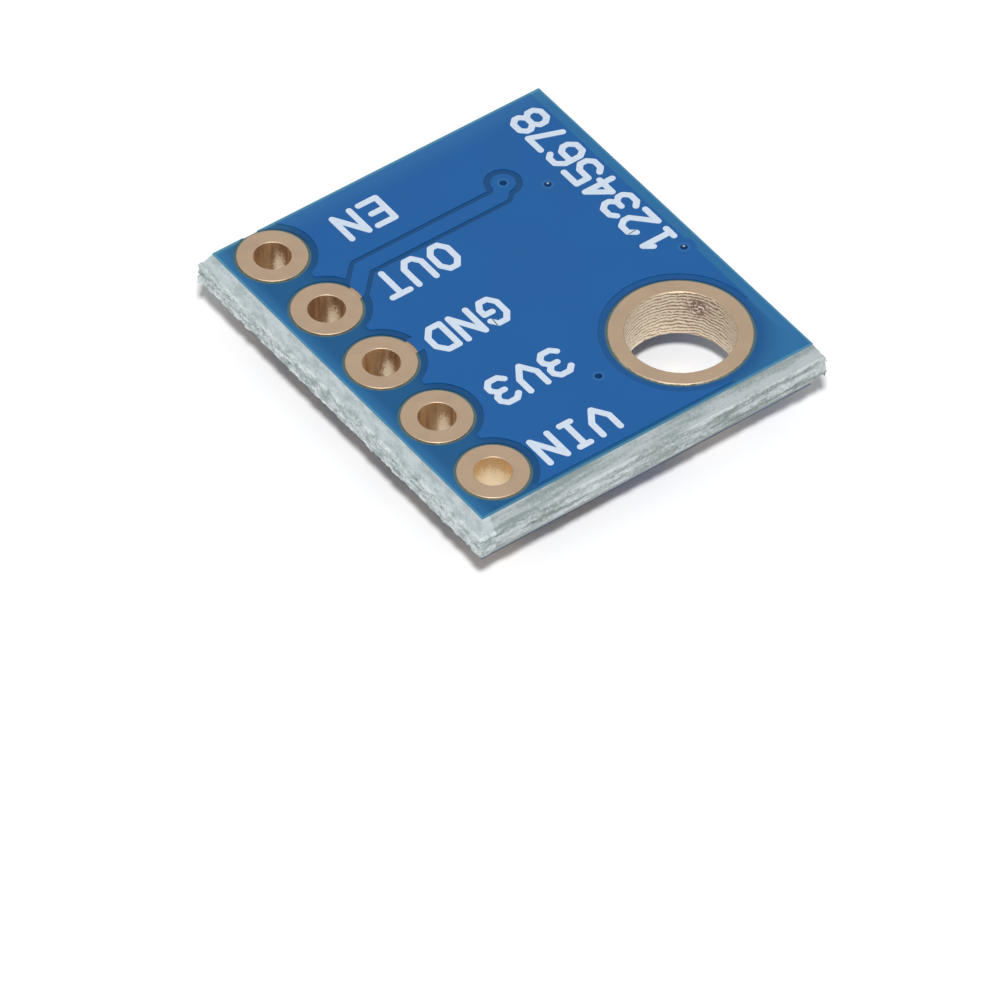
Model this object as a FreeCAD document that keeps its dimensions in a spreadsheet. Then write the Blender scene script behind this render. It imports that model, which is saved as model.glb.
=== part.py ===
import FreeCAD, Part
import math
import os
import re

from FreeCAD import Placement, Rotation, Vector
import Sketcher

# A small breakout board for an ultraviolet sensor, lying solder side up on its tallest components.
# X runs along the row of pin holes, Y from the pin holes to the far edge, Z up.
# The origin is the middle of the footprint, on the surface that the board rests on.

# Driving sizes and places, in millimetres
SIZES = {
    # Laminate, broken out of its panel along V-scored lines
    "board_width": 11.65,
    "laminate_thickness": 1.5,
    "score_inset": 0.225,
    "score_depth": 0.42,
    # Copper, its plating on the faces and in the holes, and solder mask
    "copper_thickness": 0.035,
    "plating_thickness": 0.025,
    "barrel_thickness": 0.015,
    "mask_over_copper": 0.025,
    "mask_over_laminate": 0.04,
    "mask_margin": 0.08,
    "mask_step": 0.03,
    # Row of pin holes, which sets the board's length
    "pin_pitch": 2.54,
    "left_pin_distance": 1.28,
    "right_pin_distance": 1.46,
    "pin_edge_distance": 1.5,
    "pin_hole_diameter": 1.05,
    "pin_pad_diameter": 2.0,
    "pad_rim_radius": 0.03,
    # Mounting hole
    "mount_hole_diameter": 3.1,
    "mount_pad_diameter": 4.0,
    "mount_side_distance": 2.68,
    "mount_far_distance": 2.88,
    # Vias: two placed from the sensor, one from the far edge and one from the mounting hole
    "via_hole_diameter": 0.2,
    "via_pad_diameter": 0.66,
    "output_via_side_offset": 2.74,
    "output_via_far_offset": 0.905,
    "left_via_side_offset": 1.97,
    "left_via_far_offset": 1.875,
    "far_via_side_offset": 2.21,
    "far_via_far_distance": 0.805,
    "right_via_side_offset": 0.03,
    "right_via_gap": 0.495,
    # Copper pours and tracks
    "pad_clearance": 0.3,
    "via_clearance": 0.25,
    "spoke_width": 0.5,
    "pour_left_margin": 0.1,
    "pour_right_margin": 0.175,
    "pour_far_margin": 0.375,
    "pour_lip": 0.49,
    "output_track_shift": 0.73,
    "output_track_width": 0.4,
    "output_track_clearance": 0.2,
    "front_track_width": 0.25,
    "front_track_clearance": 0.2,
    "enable_lane_side_distance": 0.7,
    "enable_lane_bend": 0.4,
    "land_margin": 0.05,
    "land_opening_margin": 0.05,
    # Soldered seats
    "component_reach": 1.25,
    "solder_film": 0.03,
    "solder_toe": 0.3,
    "solder_climb": 0.4,
    "solder_sag": 0.38,
    # Ultraviolet sensor in a ceramic package with a glass lid
    "sensor_x": -1.0,
    "sensor_far_distance": 4.225,
    "sensor_length": 4.0,
    "sensor_width": 3.7,
    "sensor_base_height": 0.46,
    "sensor_terminal_thickness": 0.02,
    "sensor_terminal_pitch": 0.95,
    "sensor_terminal_width": 0.5,
    "sensor_terminal_reach": 0.35,
    "sensor_notch_radius": 0.15,
    "sensor_lining_thickness": 0.03,
    "sensor_lining_height": 0.3,
    "sensor_toe": 0.22,
    "sensor_climb": 0.22,
    "sensor_shelf_length": 2.8,
    "sensor_shelf_width": 2.5,
    "sensor_shelf_depth": 0.12,
    "sensor_pit_length": 1.9,
    "sensor_pit_width": 1.6,
    "sensor_pit_depth": 0.18,
    "sensor_die_length": 1.2,
    "sensor_die_width": 1.0,
    "sensor_die_thickness": 0.17,
    "sensor_lid_inset": 0.2,
    "sensor_lid_thickness": 0.22,
    "sensor_lid_chamfer": 0.04,
    "sensor_seal_width": 0.25,
    "sensor_seal_thickness": 0.03,
    # Voltage regulator in a moulded package with three gull-wing leads
    "regulator_side_distance": 3.05,
    "regulator_length": 2.9,
    "regulator_width": 1.3,
    "regulator_standoff": 0.06,
    "regulator_draft_inset": 0.08,
    "regulator_lead_span": 2.4,
    "regulator_lead_spread": 1.9,
    "regulator_lead_width": 0.42,
    "regulator_lead_thickness": 0.13,
    "regulator_lead_height": 0.52,
    "regulator_foot_length": 0.4,
    "regulator_bend_radius": 0.05,
    "regulator_toe": 0.2,
    # Large chip capacitors
    "large_chip_length": 2.0,
    "large_chip_width": 1.25,
    "large_chip_end": 0.45,
    "bulk_capacitor_side_distance": 1.85,
    "bulk_capacitor_row_distance": 3.025,
    "sensor_capacitor_x": -1.6,
    "sensor_capacitor_far_distance": 1.175,
    # Small chip capacitor and chip resistor
    "small_chip_length": 1.6,
    "small_chip_width": 0.8,
    "small_chip_end": 0.32,
    "input_capacitor_height": 0.5,
    "input_capacitor_gap": 0.1,
    "input_capacitor_row_distance": 2.825,
    "resistor_height": 0.45,
    "resistor_side_distance": 1.55,
    "resistor_far_distance": 2.275,
    "chip_plating": 0.02,
    "chip_edge_radius": 0.04,
}
PIN_COUNT = 5
ENABLE_PIN = 0
OUTPUT_PIN = 1
GROUND_PIN = 2
SUPPLY_PIN = 3
INPUT_PIN = 4

# Places and levels that several pieces share, as formulas of the sizes above
BOARD_LENGTH = f"(left_pin_distance + {PIN_COUNT - 1} * pin_pitch + right_pin_distance)"
FACE_LENGTH = f"({BOARD_LENGTH} - 2 * score_inset)"
FACE_WIDTH = "(board_width - 2 * score_inset)"
RIGHT_EDGE, FAR_EDGE = f"{BOARD_LENGTH} / 2", "board_width / 2"
PIN_ROW_Y = f"(pin_edge_distance - {FAR_EDGE})"
MOUNT_X = f"({RIGHT_EDGE} - mount_side_distance)"
MOUNT_Y = f"({FAR_EDGE} - mount_far_distance)"
SENSOR_Y = f"({FAR_EDGE} - sensor_far_distance)"
FRONT_LEVEL = "(component_reach + copper_thickness)"
BACK_LEVEL = "(component_reach + copper_thickness + laminate_thickness)"
# The components' seats are as high as the tallest components are, which reach down to the ground.
SEAT_LEVEL = "(component_reach - solder_film)"
PAD_HEIGHT = "(copper_thickness + plating_thickness)"
VIAS = {
    "output_via": ("(sensor_x - output_via_side_offset)", f"({SENSOR_Y} + output_via_far_offset)"),
    "left_via": ("(sensor_x - left_via_side_offset)", f"({SENSOR_Y} + left_via_far_offset)"),
    "far_via": ("(sensor_x + far_via_side_offset)", f"({FAR_EDGE} - far_via_far_distance)"),
    "right_via": (
        f"({MOUNT_X} + right_via_side_offset)",
        f"({MOUNT_Y} - right_via_gap - (mount_pad_diameter + via_pad_diameter) / 2)",
    ),
}

doc = FreeCAD.newDocument("uv_sensor_module")
sheet = doc.addObject("Spreadsheet::Sheet", "Sizes")
for row, (alias, size) in enumerate(SIZES.items(), start=1):
    sheet.set(f"A{row}", alias)
    sheet.set(f"B{row}", str(size))
    sheet.setAlias(f"B{row}", alias)
doc.recompute()

nodes = []


def bound(formula):
    """The formula with each size written as a reference to its cell."""
    return re.sub(r"[a-z]\w*", lambda word: "Sizes." + word[0] if word[0] in SIZES else word[0], formula)


def number(formula):
    """The formula's value in millimetres."""
    return float(sheet.evalExpression(bound(formula)))


def pin_x(pin):
    """Formula of a pin hole's place along the row."""
    return f"(left_pin_distance + {pin} * pin_pitch - {RIGHT_EDGE})"


def finish(piece, label):
    """Names a piece and adds it to those that are written."""
    piece.Label = label
    nodes.append(piece)
    return piece


# Sketched pieces


def new_sketch(body, name, role="XY_Plane", lift="0"):
    """An empty sketch on one of the body's own planes, lifted along the plane's normal."""
    sketch = body.newObject("Sketcher::SketchObject", name)
    plane = next(feature for feature in body.Origin.OriginFeatures if feature.Role == role)
    sketch.AttachmentSupport = [(plane, "")]
    sketch.MapMode = "FlatFace"
    sketch.setExpression("AttachmentOffset.Base.z", bound(lift))
    return sketch


def fix_point(sketch, edge, end, x, y):
    """Holds one point of an edge at a place given by two formulas."""
    for kind, formula in (("DistanceX", x), ("DistanceY", y)):
        constraint = Sketcher.Constraint(kind, -1, 1, edge, end, number(formula))
        index = sketch.addConstraint(constraint)
        sketch.setExpression(f"Constraints[{index}]", bound(formula))


def draw_polygon(sketch, corners):
    """A closed outline through corners that are pairs of formulas."""
    places = [Vector(number(x), number(y), 0) for x, y in corners]
    first = sketch.GeometryCount
    for start, end in zip(places, places[1:] + places[:1]):
        sketch.addGeometry(Part.LineSegment(start, end))
    for step, (x, y) in enumerate(corners):
        previous = first + (step - 1) % len(corners)
        sketch.addConstraint(Sketcher.Constraint("Coincident", previous, 2, first + step, 1))
        fix_point(sketch, first + step, 1, x, y)


def draw_rectangle(sketch, length, width):
    """A rectangle about the sketch's origin."""
    right, top = f"{length} / 2", f"{width} / 2"
    left, bottom = f"-{length} / 2", f"-{width} / 2"
    draw_polygon(sketch, [(left, bottom), (right, bottom), (right, top), (left, top)])


def draw_circle(sketch, x, y, radius):
    """A circle whose centre and radius are formulas."""
    circle = Part.Circle(Vector(number(x), number(y), 0), Vector(0, 0, 1), number(radius))
    edge = sketch.addGeometry(circle)
    fix_point(sketch, edge, 3, x, y)
    index = sketch.addConstraint(Sketcher.Constraint("Radius", edge, number(radius)))
    sketch.setExpression(f"Constraints[{index}]", bound(radius))


def add_loft(body, name, lower, upper):
    """A straight-sided loft between two sketches."""
    loft = body.newObject("PartDesign::AdditiveLoft", name)
    loft.Profile = lower
    loft.Sections = [upper]
    loft.Ruled = True
    return loft


def add_pad(body, name, sketch, length, midplane=False):
    """A pad along the sketch's normal."""
    pad = body.newObject("PartDesign::Pad", name)
    pad.Profile = sketch
    pad.setExpression("Length", bound(length))
    pad.Midplane = midplane
    return pad


def add_pocket(body, name, sketch, depth=None):
    """A pocket against the sketch's normal, right through where no depth is given."""
    pocket = body.newObject("PartDesign::Pocket", name)
    pocket.Profile = sketch
    if depth is None:
        pocket.Type = "ThroughAll"
    else:
        pocket.setExpression("Length", bound(depth))
    return pocket


def picked_edges(base, chosen):
    """Names of the base feature's edges that the test picks out."""
    doc.recompute()
    return [f"Edge{index}" for index, edge in enumerate(base.Shape.Edges, start=1) if chosen(edge)]


def add_fillet(body, name, base, chosen, radius):
    """Rounds the edges of the base feature that the test picks out."""
    fillet = body.newObject("PartDesign::Fillet", name)
    fillet.Base = (base, picked_edges(base, chosen))
    fillet.setExpression("Radius", bound(radius))
    return fillet


def place(piece, x, y, z, turn=None):
    """Puts a piece at a place given by three formulas, after a turn."""
    if turn is not None:
        piece.Placement = Placement(Vector(), turn)
    for axis, formula in (("x", x), ("y", y), ("z", z)):
        piece.setExpression(f"Placement.Base.{axis}", bound(formula))


# Laminate


def make_laminate():
    """Glass-fibre board with V-scored edges, drilled for pins, mounting screw and vias."""
    body = doc.addObject("PartDesign::Body", "Laminate")
    levels = {
        "front_face": (FACE_LENGTH, FACE_WIDTH, "0"),
        "front_score": (BOARD_LENGTH, "board_width", "score_depth"),
        "back_score": (BOARD_LENGTH, "board_width", "(laminate_thickness - score_depth)"),
        "back_face": (FACE_LENGTH, FACE_WIDTH, "laminate_thickness"),
    }
    outlines = []
    for name, (length, width, lift) in levels.items():
        outline = new_sketch(body, name, lift=lift)
        draw_rectangle(outline, length, width)
        outlines.append(outline)
    front_face, front_score, back_score, back_face = outlines
    add_loft(body, "front_bevel", front_face, front_score)
    add_loft(body, "broken_web", front_score, back_score)
    add_loft(body, "back_bevel", back_score, back_face)
    drill_holes = new_sketch(body, "drill_holes", lift="laminate_thickness")
    wall = "2 * barrel_thickness"
    for pin in range(PIN_COUNT):
        draw_circle(drill_holes, pin_x(pin), PIN_ROW_Y, f"(pin_hole_diameter + {wall}) / 2")
    draw_circle(drill_holes, MOUNT_X, MOUNT_Y, f"(mount_hole_diameter + {wall}) / 2")
    for x, y in VIAS.values():
        draw_circle(drill_holes, x, y, f"(via_hole_diameter + {wall}) / 2")
    add_pocket(body, "drilling", drill_holes)
    place(body, "0", "0", FRONT_LEVEL)
    return finish(body, "laminate")


# Plated holes


def make_plating(label, x, y, hole, pad, pad_height, rim):
    """A plated barrel with a ring-shaped pad on each face of the laminate."""
    body = doc.addObject("PartDesign::Body", "Plating")
    profile = new_sketch(body, "section", role="XZ_Plane")
    bore, drilled, outer = f"{hole} / 2", f"({hole} / 2 + barrel_thickness)", f"{pad} / 2"
    front, back = "0", "laminate_thickness"
    low, high = f"-{pad_height}", f"(laminate_thickness + {pad_height})"
    draw_polygon(profile, [
        (bore, low), (outer, low), (outer, front), (drilled, front),
        (drilled, back), (outer, back), (outer, high), (bore, high),
    ])
    barrel = body.newObject("PartDesign::Revolution", "barrel")
    barrel.Profile = profile
    barrel.ReferenceAxis = (profile, ["V_Axis"])
    barrel.Angle = 360
    if rim:
        outer_faces = (number(low), number(high))

        def on_outer_face(edge):
            box = edge.BoundBox
            return box.ZLength < 1e-6 and any(abs(box.ZMin - level) < 1e-6 for level in outer_faces)

        add_fillet(body, "rims", barrel, on_outer_face, rim)
    place(body, x, y, FRONT_LEVEL)
    return finish(body, label)


# Copper and solder mask


class Layer:
    """Flat artwork between two levels, made of discs, bars and tracks."""

    def __init__(self, bottom, top):
        self.bottom = number(bottom)
        self.thickness = number(top) - self.bottom

    def disc(self, x, y, radius):
        """A round area."""
        return Part.makeCylinder(radius, self.thickness, Vector(x, y, self.bottom))

    def bar(self, left, near, right, far):
        """A rectangular area."""
        corner = Vector(left, near, self.bottom)
        return Part.makeBox(right - left, far - near, self.thickness, corner)

    def track(self, points, width):
        """Straight runs with round joints and ends."""
        pieces = [self.disc(x, y, width / 2) for x, y in points]
        for (x, y), (next_x, next_y) in zip(points, points[1:]):
            length = math.hypot(next_x - x, next_y - y)
            run = Part.makeBox(length, width, self.thickness, Vector(0, -width / 2, 0))
            heading = Rotation(Vector(1, 0, 0), Vector(next_x - x, next_y - y, 0))
            run.Placement = Placement(Vector(x, y, self.bottom), heading)
            pieces.append(run)
        return join(pieces)


def join(pieces):
    """One shape of the pieces that touch or overlap."""
    first, *rest = pieces
    return first.fuse(rest).removeSplitter() if rest else first


def dogleg(start, end, slant_first=False):
    """Points from start to end by one straight run and one at 45 degrees."""
    across, up = end[0] - start[0], end[1] - start[1]
    slant = min(abs(across), abs(up))
    step = (math.copysign(slant, across), math.copysign(slant, up))
    if slant_first:
        return [start, (start[0] + step[0], start[1] + step[1]), end]
    return [start, (end[0] - step[0], end[1] - step[1]), end]


def via_place(name):
    """A via's centre."""
    x, y = VIAS[name]
    return number(x), number(y)


def pin_place(pin):
    """A pin hole's centre."""
    return number(pin_x(pin)), number(PIN_ROW_Y)


def pour_outline(layer, grow):
    """The area that a ground pour fills before its gaps are cut."""
    face_right, face_far = number(FACE_LENGTH) / 2, number(FACE_WIDTH) / 2
    left = number("pour_left_margin") - face_right - grow
    right = face_right - number("pour_right_margin") + grow
    near = number(PIN_ROW_Y) + number("pour_lip") - grow
    far = face_far - number("pour_far_margin") + grow
    # The corner beyond the mounting hole is cut off from the rest and left bare.
    mount_x, mount_y = number(MOUNT_X), number(MOUNT_Y)
    corner = layer.bar(mount_x, mount_y, right, far)
    return layer.bar(left, near, right, far).cut(corner)


def ground_pour(layer, grow, gaps):
    """A pour with its gaps round the pads, joined to the ground pin's pad by a spoke."""
    gap = number("pad_clearance") - grow
    pin_radius = number("pin_pad_diameter") / 2
    mount_radius = number("mount_pad_diameter") / 2
    rings = [layer.disc(*pin_place(pin), pin_radius + gap) for pin in range(PIN_COUNT)]
    rings.append(layer.disc(number(MOUNT_X), number(MOUNT_Y), mount_radius + gap))
    rings.append(layer.disc(*via_place("output_via"), via_radius() + number("via_clearance") - grow))
    pour = pour_outline(layer, grow).cut(rings + gaps)
    x, y = pin_place(GROUND_PIN)
    half = number("spoke_width") / 2 + grow
    spoke = layer.bar(x - half, y, x + half, y + pin_radius + number("pad_clearance") + half)
    return pour.fuse(spoke).removeSplitter()


def via_radius():
    """Radius of a via's pad."""
    return number("via_pad_diameter") / 2


def pad_discs(layer, grow):
    """The pads of every plated hole."""
    pin_radius = number("pin_pad_diameter") / 2 + grow
    mount_radius = number("mount_pad_diameter") / 2 + grow
    discs = [layer.disc(*pin_place(pin), pin_radius) for pin in range(PIN_COUNT)]
    discs.append(layer.disc(number(MOUNT_X), number(MOUNT_Y), mount_radius))
    discs += [layer.disc(*via_place(name), via_radius() + grow) for name in VIAS]
    return discs


def back_output_route():
    """The output track's centre line, from its pin to its via."""
    pin, via = pin_place(OUTPUT_PIN), via_place("output_via")
    lane = pin[0] - number("output_track_shift")
    leave = (pin[0], pin[1] + number("pin_pad_diameter") / 2)
    turn = (lane, leave[1] + abs(pin[0] - lane))
    slant = (lane, via[1] - abs(via[0] - lane))
    return [pin, leave, turn, slant, via]


def back_artwork(layer, grow):
    """The solder side's pour and its output track."""
    width = number("output_track_width")
    route = back_output_route()
    gap = layer.track(route, width + 2 * number("output_track_clearance") - 2 * grow)
    pour = connected(ground_pour(layer, grow, [gap]), layer, [])
    track = layer.track(route, width + 2 * grow)
    return pour, track


def grown(rectangle, margin):
    """A rectangle with a margin added on every side."""
    left, near, right, far = rectangle
    return left - margin, near - margin, right + margin, far + margin


def middle(rectangle):
    """A rectangle's centre."""
    left, near, right, far = rectangle
    return (left + right) / 2, (near + far) / 2


def front_routes():
    """The component side's nets: each has its lands and its tracks' centre lines."""
    sensor, regulator = LANDS["sensor"], LANDS["regulator"]
    bulk, local = LANDS["bulk_capacitor"], LANDS["sensor_capacitor"]
    inlet, resistor = LANDS["input_capacitor"], LANDS["resistor"]
    enable_pin, enable_land = pin_place(ENABLE_PIN), middle(sensor["left_2"])
    lane = number(f"enable_lane_side_distance - {RIGHT_EDGE}")
    bend = number("enable_lane_bend")
    branch = (middle(resistor["near"])[0], enable_land[1])
    enable_route = [
        enable_pin,
        (lane, enable_pin[1] + abs(enable_pin[0] - lane)),
        (lane, enable_land[1] - bend),
        (lane + bend, enable_land[1]),
        enable_land,
    ]
    output_land = middle(regulator["lead_1"])
    return {
        "front_input_track": (
            [regulator["lead_3"], inlet["near"]],
            [
                dogleg(pin_place(INPUT_PIN), middle(regulator["lead_3"])),
                dogleg(pin_place(INPUT_PIN), middle(inlet["near"])),
            ],
        ),
        "front_supply_track": (
            [regulator["lead_1"], sensor["right_1"]],
            [
                [pin_place(SUPPLY_PIN), output_land],
                dogleg(output_land, middle(sensor["right_1"])),
            ],
        ),
        "front_bulk_track": (
            [bulk["far"], sensor["left_1"]],
            [dogleg(middle(bulk["far"]), middle(sensor["left_1"]))],
        ),
        "front_enable_track": (
            [sensor["left_2"], resistor["near"]],
            [enable_route, [branch, middle(resistor["near"])]],
        ),
        "front_output_track": (
            [sensor["left_3"]],
            [[middle(sensor["left_3"]), via_place("output_via")]],
        ),
        "front_sensor_track": (
            [sensor["far_1"], local["left"], resistor["far"]],
            [
                dogleg(middle(local["left"]), middle(sensor["far_1"])),
                dogleg(middle(resistor["far"]), middle(local["left"]), slant_first=True),
            ],
        ),
    }


def net_shape(layer, net, margin):
    """One net's lands and tracks, grown by a margin."""
    lands, routes = net
    pieces = [layer.bar(*grown(land, number("land_margin") + margin)) for land in lands]
    width = number("front_track_width") + 2 * margin
    pieces += [layer.track(route, width) for route in routes]
    return join(pieces)


def front_artwork(layer, grow):
    """The component side's pour and its nets."""
    nets = front_routes()
    clearance = number("front_track_clearance") - grow
    gaps = [net_shape(layer, net, clearance) for net in nets.values()]
    signals = {name: net_shape(layer, net, grow) for name, net in nets.items()}
    ground = ground_pour(layer, grow, gaps)
    lands = ground_lands()
    joined = [layer.bar(*grown(land, number("land_margin") + grow)) for land in lands]
    return connected(join([ground] + joined), layer, lands), signals


def connected(pour, layer, lands):
    """The pour without the islands that no ground via, land or pin reaches."""
    x, y = pin_place(GROUND_PIN)
    contacts = [(x, y + (number("pin_pad_diameter") + number("pad_clearance")) / 2)]
    contacts += [via_place(name) for name in VIAS if name != "output_via"]
    contacts += [middle(land) for land in lands]
    level = layer.bottom + layer.thickness / 2
    points = [Vector(x, y, level) for x, y in contacts]
    kept = [solid for solid in pour.Solids if any(solid.isInside(point, 1e-6, True) for point in points)]
    return Part.makeCompound(kept) if len(kept) > 1 else kept[0]


def ground_lands():
    """The lands that no track serves, so they belong to the pour."""
    served = [land for lands, routes in front_routes().values() for land in lands]
    return [land for group in LANDS.values() for land in group.values() if land not in served]


def make_copper(label, shape):
    """A copper piece that ends where the pads of the plated holes begin."""
    piece = doc.addObject("Part::Feature", "Copper")
    piece.Shape = single(shape)
    return finish(piece, label)


def single(shape):
    """The shape itself, or its only solid."""
    return shape.Solids[0] if len(shape.Solids) == 1 else shape


def make_mask(label, face_level, outward, artwork, copper, openings):
    """Solder mask that steps up over the copper and stops short of what is soldered."""
    copper_top, film = number("copper_thickness"), number("mask_over_copper")
    low_top = number("mask_over_laminate")
    face_x, face_y = number(FACE_LENGTH) / 2, number(FACE_WIDTH) / 2

    def layer(height):
        levels = sorted((number(face_level), number(face_level) + outward * height))
        return Layer(str(levels[0]), str(levels[1]))

    sheet_layer, raised_layer = layer(low_top), layer(copper_top + film)
    grow = number("mask_step")
    raised = artwork(raised_layer, grow) + pad_discs(raised_layer, grow)
    raised.append(sheet_layer.bar(-face_x, -face_y, face_x, face_y))
    mask = join(raised)
    face = raised_layer.bar(-face_x, -face_y, face_x, face_y)
    mask = mask.common(face).cut([piece.Shape for piece in copper] + openings(raised_layer))
    mask = mask.removeSplitter()
    piece = doc.addObject("Part::Feature", "Mask")
    piece.Shape = single(mask)
    return finish(piece, label)


def hole_openings(layer):
    """Openings over the pads and over the mouths of the vias."""
    margin = number("mask_margin")
    pin_radius = number("pin_pad_diameter") / 2 + margin
    mount_radius = number("mount_pad_diameter") / 2 + margin
    openings = [layer.disc(*pin_place(pin), pin_radius) for pin in range(PIN_COUNT)]
    openings.append(layer.disc(number(MOUNT_X), number(MOUNT_Y), mount_radius))
    openings += [layer.disc(*via_place(name), number("via_hole_diameter") / 2) for name in VIAS]
    return openings


def front_openings(layer):
    """Openings over the pads, the vias and the lands."""
    margin = number("land_margin") + number("land_opening_margin")
    lands = [land for group in LANDS.values() for land in group.values()]
    return hole_openings(layer) + [layer.bar(*grown(land, margin)) for land in lands]


# Components, each modelled upright and then turned over to hang below the board


class Seat:
    """Where a component is soldered: its centre, and whether it lies along Y."""

    def __init__(self, x, y, along_y=False):
        self.x, self.y = x, y
        self.along_y = along_y
        quarter = Rotation(Vector(0, 0, 1), 90 if along_y else 0)
        self.turn = quarter * Rotation(Vector(1, 0, 0), 180)

    def hold(self, piece):
        """Seats a piece of the component on its solder."""
        place(piece, self.x, self.y, SEAT_LEVEL, self.turn)

    def on_board(self, rectangle):
        """A rectangle of the component's own frame, as it lies on the board."""
        left, near, right, far = rectangle
        corners = [self.turn.multVec(Vector(x, y, 0)) for x, y in ((left, near), (right, far))]
        xs = sorted(corner.x + number(self.x) for corner in corners)
        ys = sorted(corner.y + number(self.y) for corner in corners)
        return xs[0], ys[0], xs[1], ys[1]


# The regulator stands midway between the pin pads and the mounting hole's, with the input
# capacitor at its side. The supply's other capacitor keeps to the pin row, the rest to the far edge.
SENSOR_SEAT = Seat("sensor_x", SENSOR_Y)
REGULATOR_SEAT = Seat(
    f"({RIGHT_EDGE} - regulator_side_distance)",
    f"({PIN_ROW_Y} + {MOUNT_Y} + (pin_pad_diameter - mount_pad_diameter) / 2) / 2",
)
CHIP_SEATS = {
    "bulk_capacitor": Seat(
        f"(bulk_capacitor_side_distance - {RIGHT_EDGE})",
        f"({PIN_ROW_Y} + bulk_capacitor_row_distance)",
        along_y=True,
    ),
    "sensor_capacitor": Seat("sensor_capacitor_x", f"({FAR_EDGE} - sensor_capacitor_far_distance)"),
    "input_capacitor": Seat(
        f"({REGULATOR_SEAT.x} + (regulator_length + small_chip_width) / 2 + input_capacitor_gap)",
        f"({PIN_ROW_Y} + input_capacitor_row_distance)",
        along_y=True,
    ),
    "resistor": Seat(
        f"(resistor_side_distance - {RIGHT_EDGE})",
        f"({FAR_EDGE} - resistor_far_distance)",
        along_y=True,
    ),
}


def joint_profile(under, toe, climb):
    """Solder under a terminal and up its end face, which stands at x = 0."""
    film, sag = number("solder_film"), number("solder_sag")
    heel = [Vector(-under, 0, 0), Vector(-under, 0, -film), Vector(toe, 0, -film), Vector(toe, 0, 0)]
    top, foot = Vector(0, 0, climb), Vector(0, 0, 0)
    edges = [Part.makeLine(start, end) for start, end in zip(heel, heel[1:])]
    edges.append(Part.Arc(heel[-1], Vector(toe * sag, 0, climb * sag), top).toShape())
    edges += [Part.makeLine(top, foot), Part.makeLine(foot, heel[0])]
    return Part.Face(Part.Wire(edges))


class Joint:
    """A solder joint at a terminal's end face, with the heading that the terminal points in."""

    def __init__(self, x, y, heading, width, under, toe, climb):
        self.centre, self.heading = Vector(x, y, 0), heading
        self.width, self.under, self.toe, self.climb = width, under, toe, climb

    def turned(self, along, across):
        """A point given along the joint's heading and across it, in the component's frame."""
        spin = Rotation(Vector(0, 0, 1), self.heading)
        return self.centre + spin.multVec(Vector(along, across, 0))

    def land(self):
        """The joint's footprint as a rectangle of the component's frame."""
        corners = [self.turned(-self.under, -self.width / 2), self.turned(self.toe, self.width / 2)]
        xs = sorted(corner.x for corner in corners)
        ys = sorted(corner.y for corner in corners)
        return xs[0], ys[0], xs[1], ys[1]

    def solid(self):
        """The solder of this joint, in the component's frame."""
        solder = joint_profile(self.under, self.toe, self.climb).extrude(Vector(0, self.width, 0))
        solder.translate(Vector(0, -self.width / 2, 0))
        spin = Rotation(Vector(0, 0, 1), self.heading)
        solder.Placement = Placement(self.centre, spin) * solder.Placement
        return solder


def sensor_terminals():
    """Each terminal's name, the middle of its edge of the package and its outward heading."""
    half_length, half_width = number("sensor_length") / 2, number("sensor_width") / 2
    pitch = number("sensor_terminal_pitch")
    spots = {}
    for step in (-1, 0, 1):
        rank = step + 2
        # The package hangs upside down, so its own Y points to the board's near edge.
        spots[f"right_{rank}"] = (half_length, -step * pitch, 0)
        spots[f"left_{rank}"] = (-half_length, -step * pitch, 180)
        spots[f"far_{rank}"] = (step * pitch, -half_width, 270)
        spots[f"near_{rank}"] = (step * pitch, half_width, 90)
    return spots


def sensor_joints():
    """The sensor's solder joints, by terminal."""
    width, under = number("sensor_terminal_width"), number("sensor_terminal_reach")
    toe, climb = number("sensor_toe"), number("sensor_climb")
    return {
        name: Joint(x, y, heading, width, under, toe, climb)
        for name, (x, y, heading) in sensor_terminals().items()
    }


def regulator_leads():
    """Each lead's name, the formulas of its tip and its outward heading."""
    half = "regulator_lead_spread / 2"
    tip = "regulator_lead_span / 2"
    return {
        "lead_1": (f"-{half}", f"-{tip}", 270),
        "lead_2": (half, f"-{tip}", 270),
        "lead_3": ("0", tip, 90),
    }


def regulator_joints():
    """The regulator's solder joints, by lead."""
    width, under = number("regulator_lead_width"), number("regulator_foot_length")
    toe, climb = number("regulator_toe"), number("regulator_lead_thickness")
    return {
        name: Joint(number(x), number(y), heading, width, under, toe, climb)
        for name, (x, y, heading) in regulator_leads().items()
    }


CHIP_KINDS = {
    "bulk_capacitor": ("large_chip", SEAT_LEVEL),
    "sensor_capacitor": ("large_chip", SEAT_LEVEL),
    "input_capacitor": ("small_chip", "input_capacitor_height"),
    "resistor": ("small_chip", "resistor_height"),
}


def chip_joints(name):
    """A chip component's two solder joints, named by where they are on the board."""
    kind, height = CHIP_KINDS[name]
    half, width = number(f"{kind}_length") / 2, number(f"{kind}_width")
    under, toe = number(f"{kind}_end"), number("solder_toe")
    climb = min(number("solder_climb"), number(height) - number("chip_edge_radius"))
    ends = ("near", "far") if CHIP_SEATS[name].along_y else ("left", "right")
    return {
        ends[0]: Joint(-half, 0, 180, width, under, toe, climb),
        ends[1]: Joint(half, 0, 0, width, under, toe, climb),
    }


def make_solder(label, seat, joints):
    """A component's solder joints."""
    piece = doc.addObject("Part::Feature", "Solder")
    piece.Shape = Part.makeCompound([joint.solid() for joint in joints.values()])
    seat.hold(piece)
    return finish(piece, label)


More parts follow.
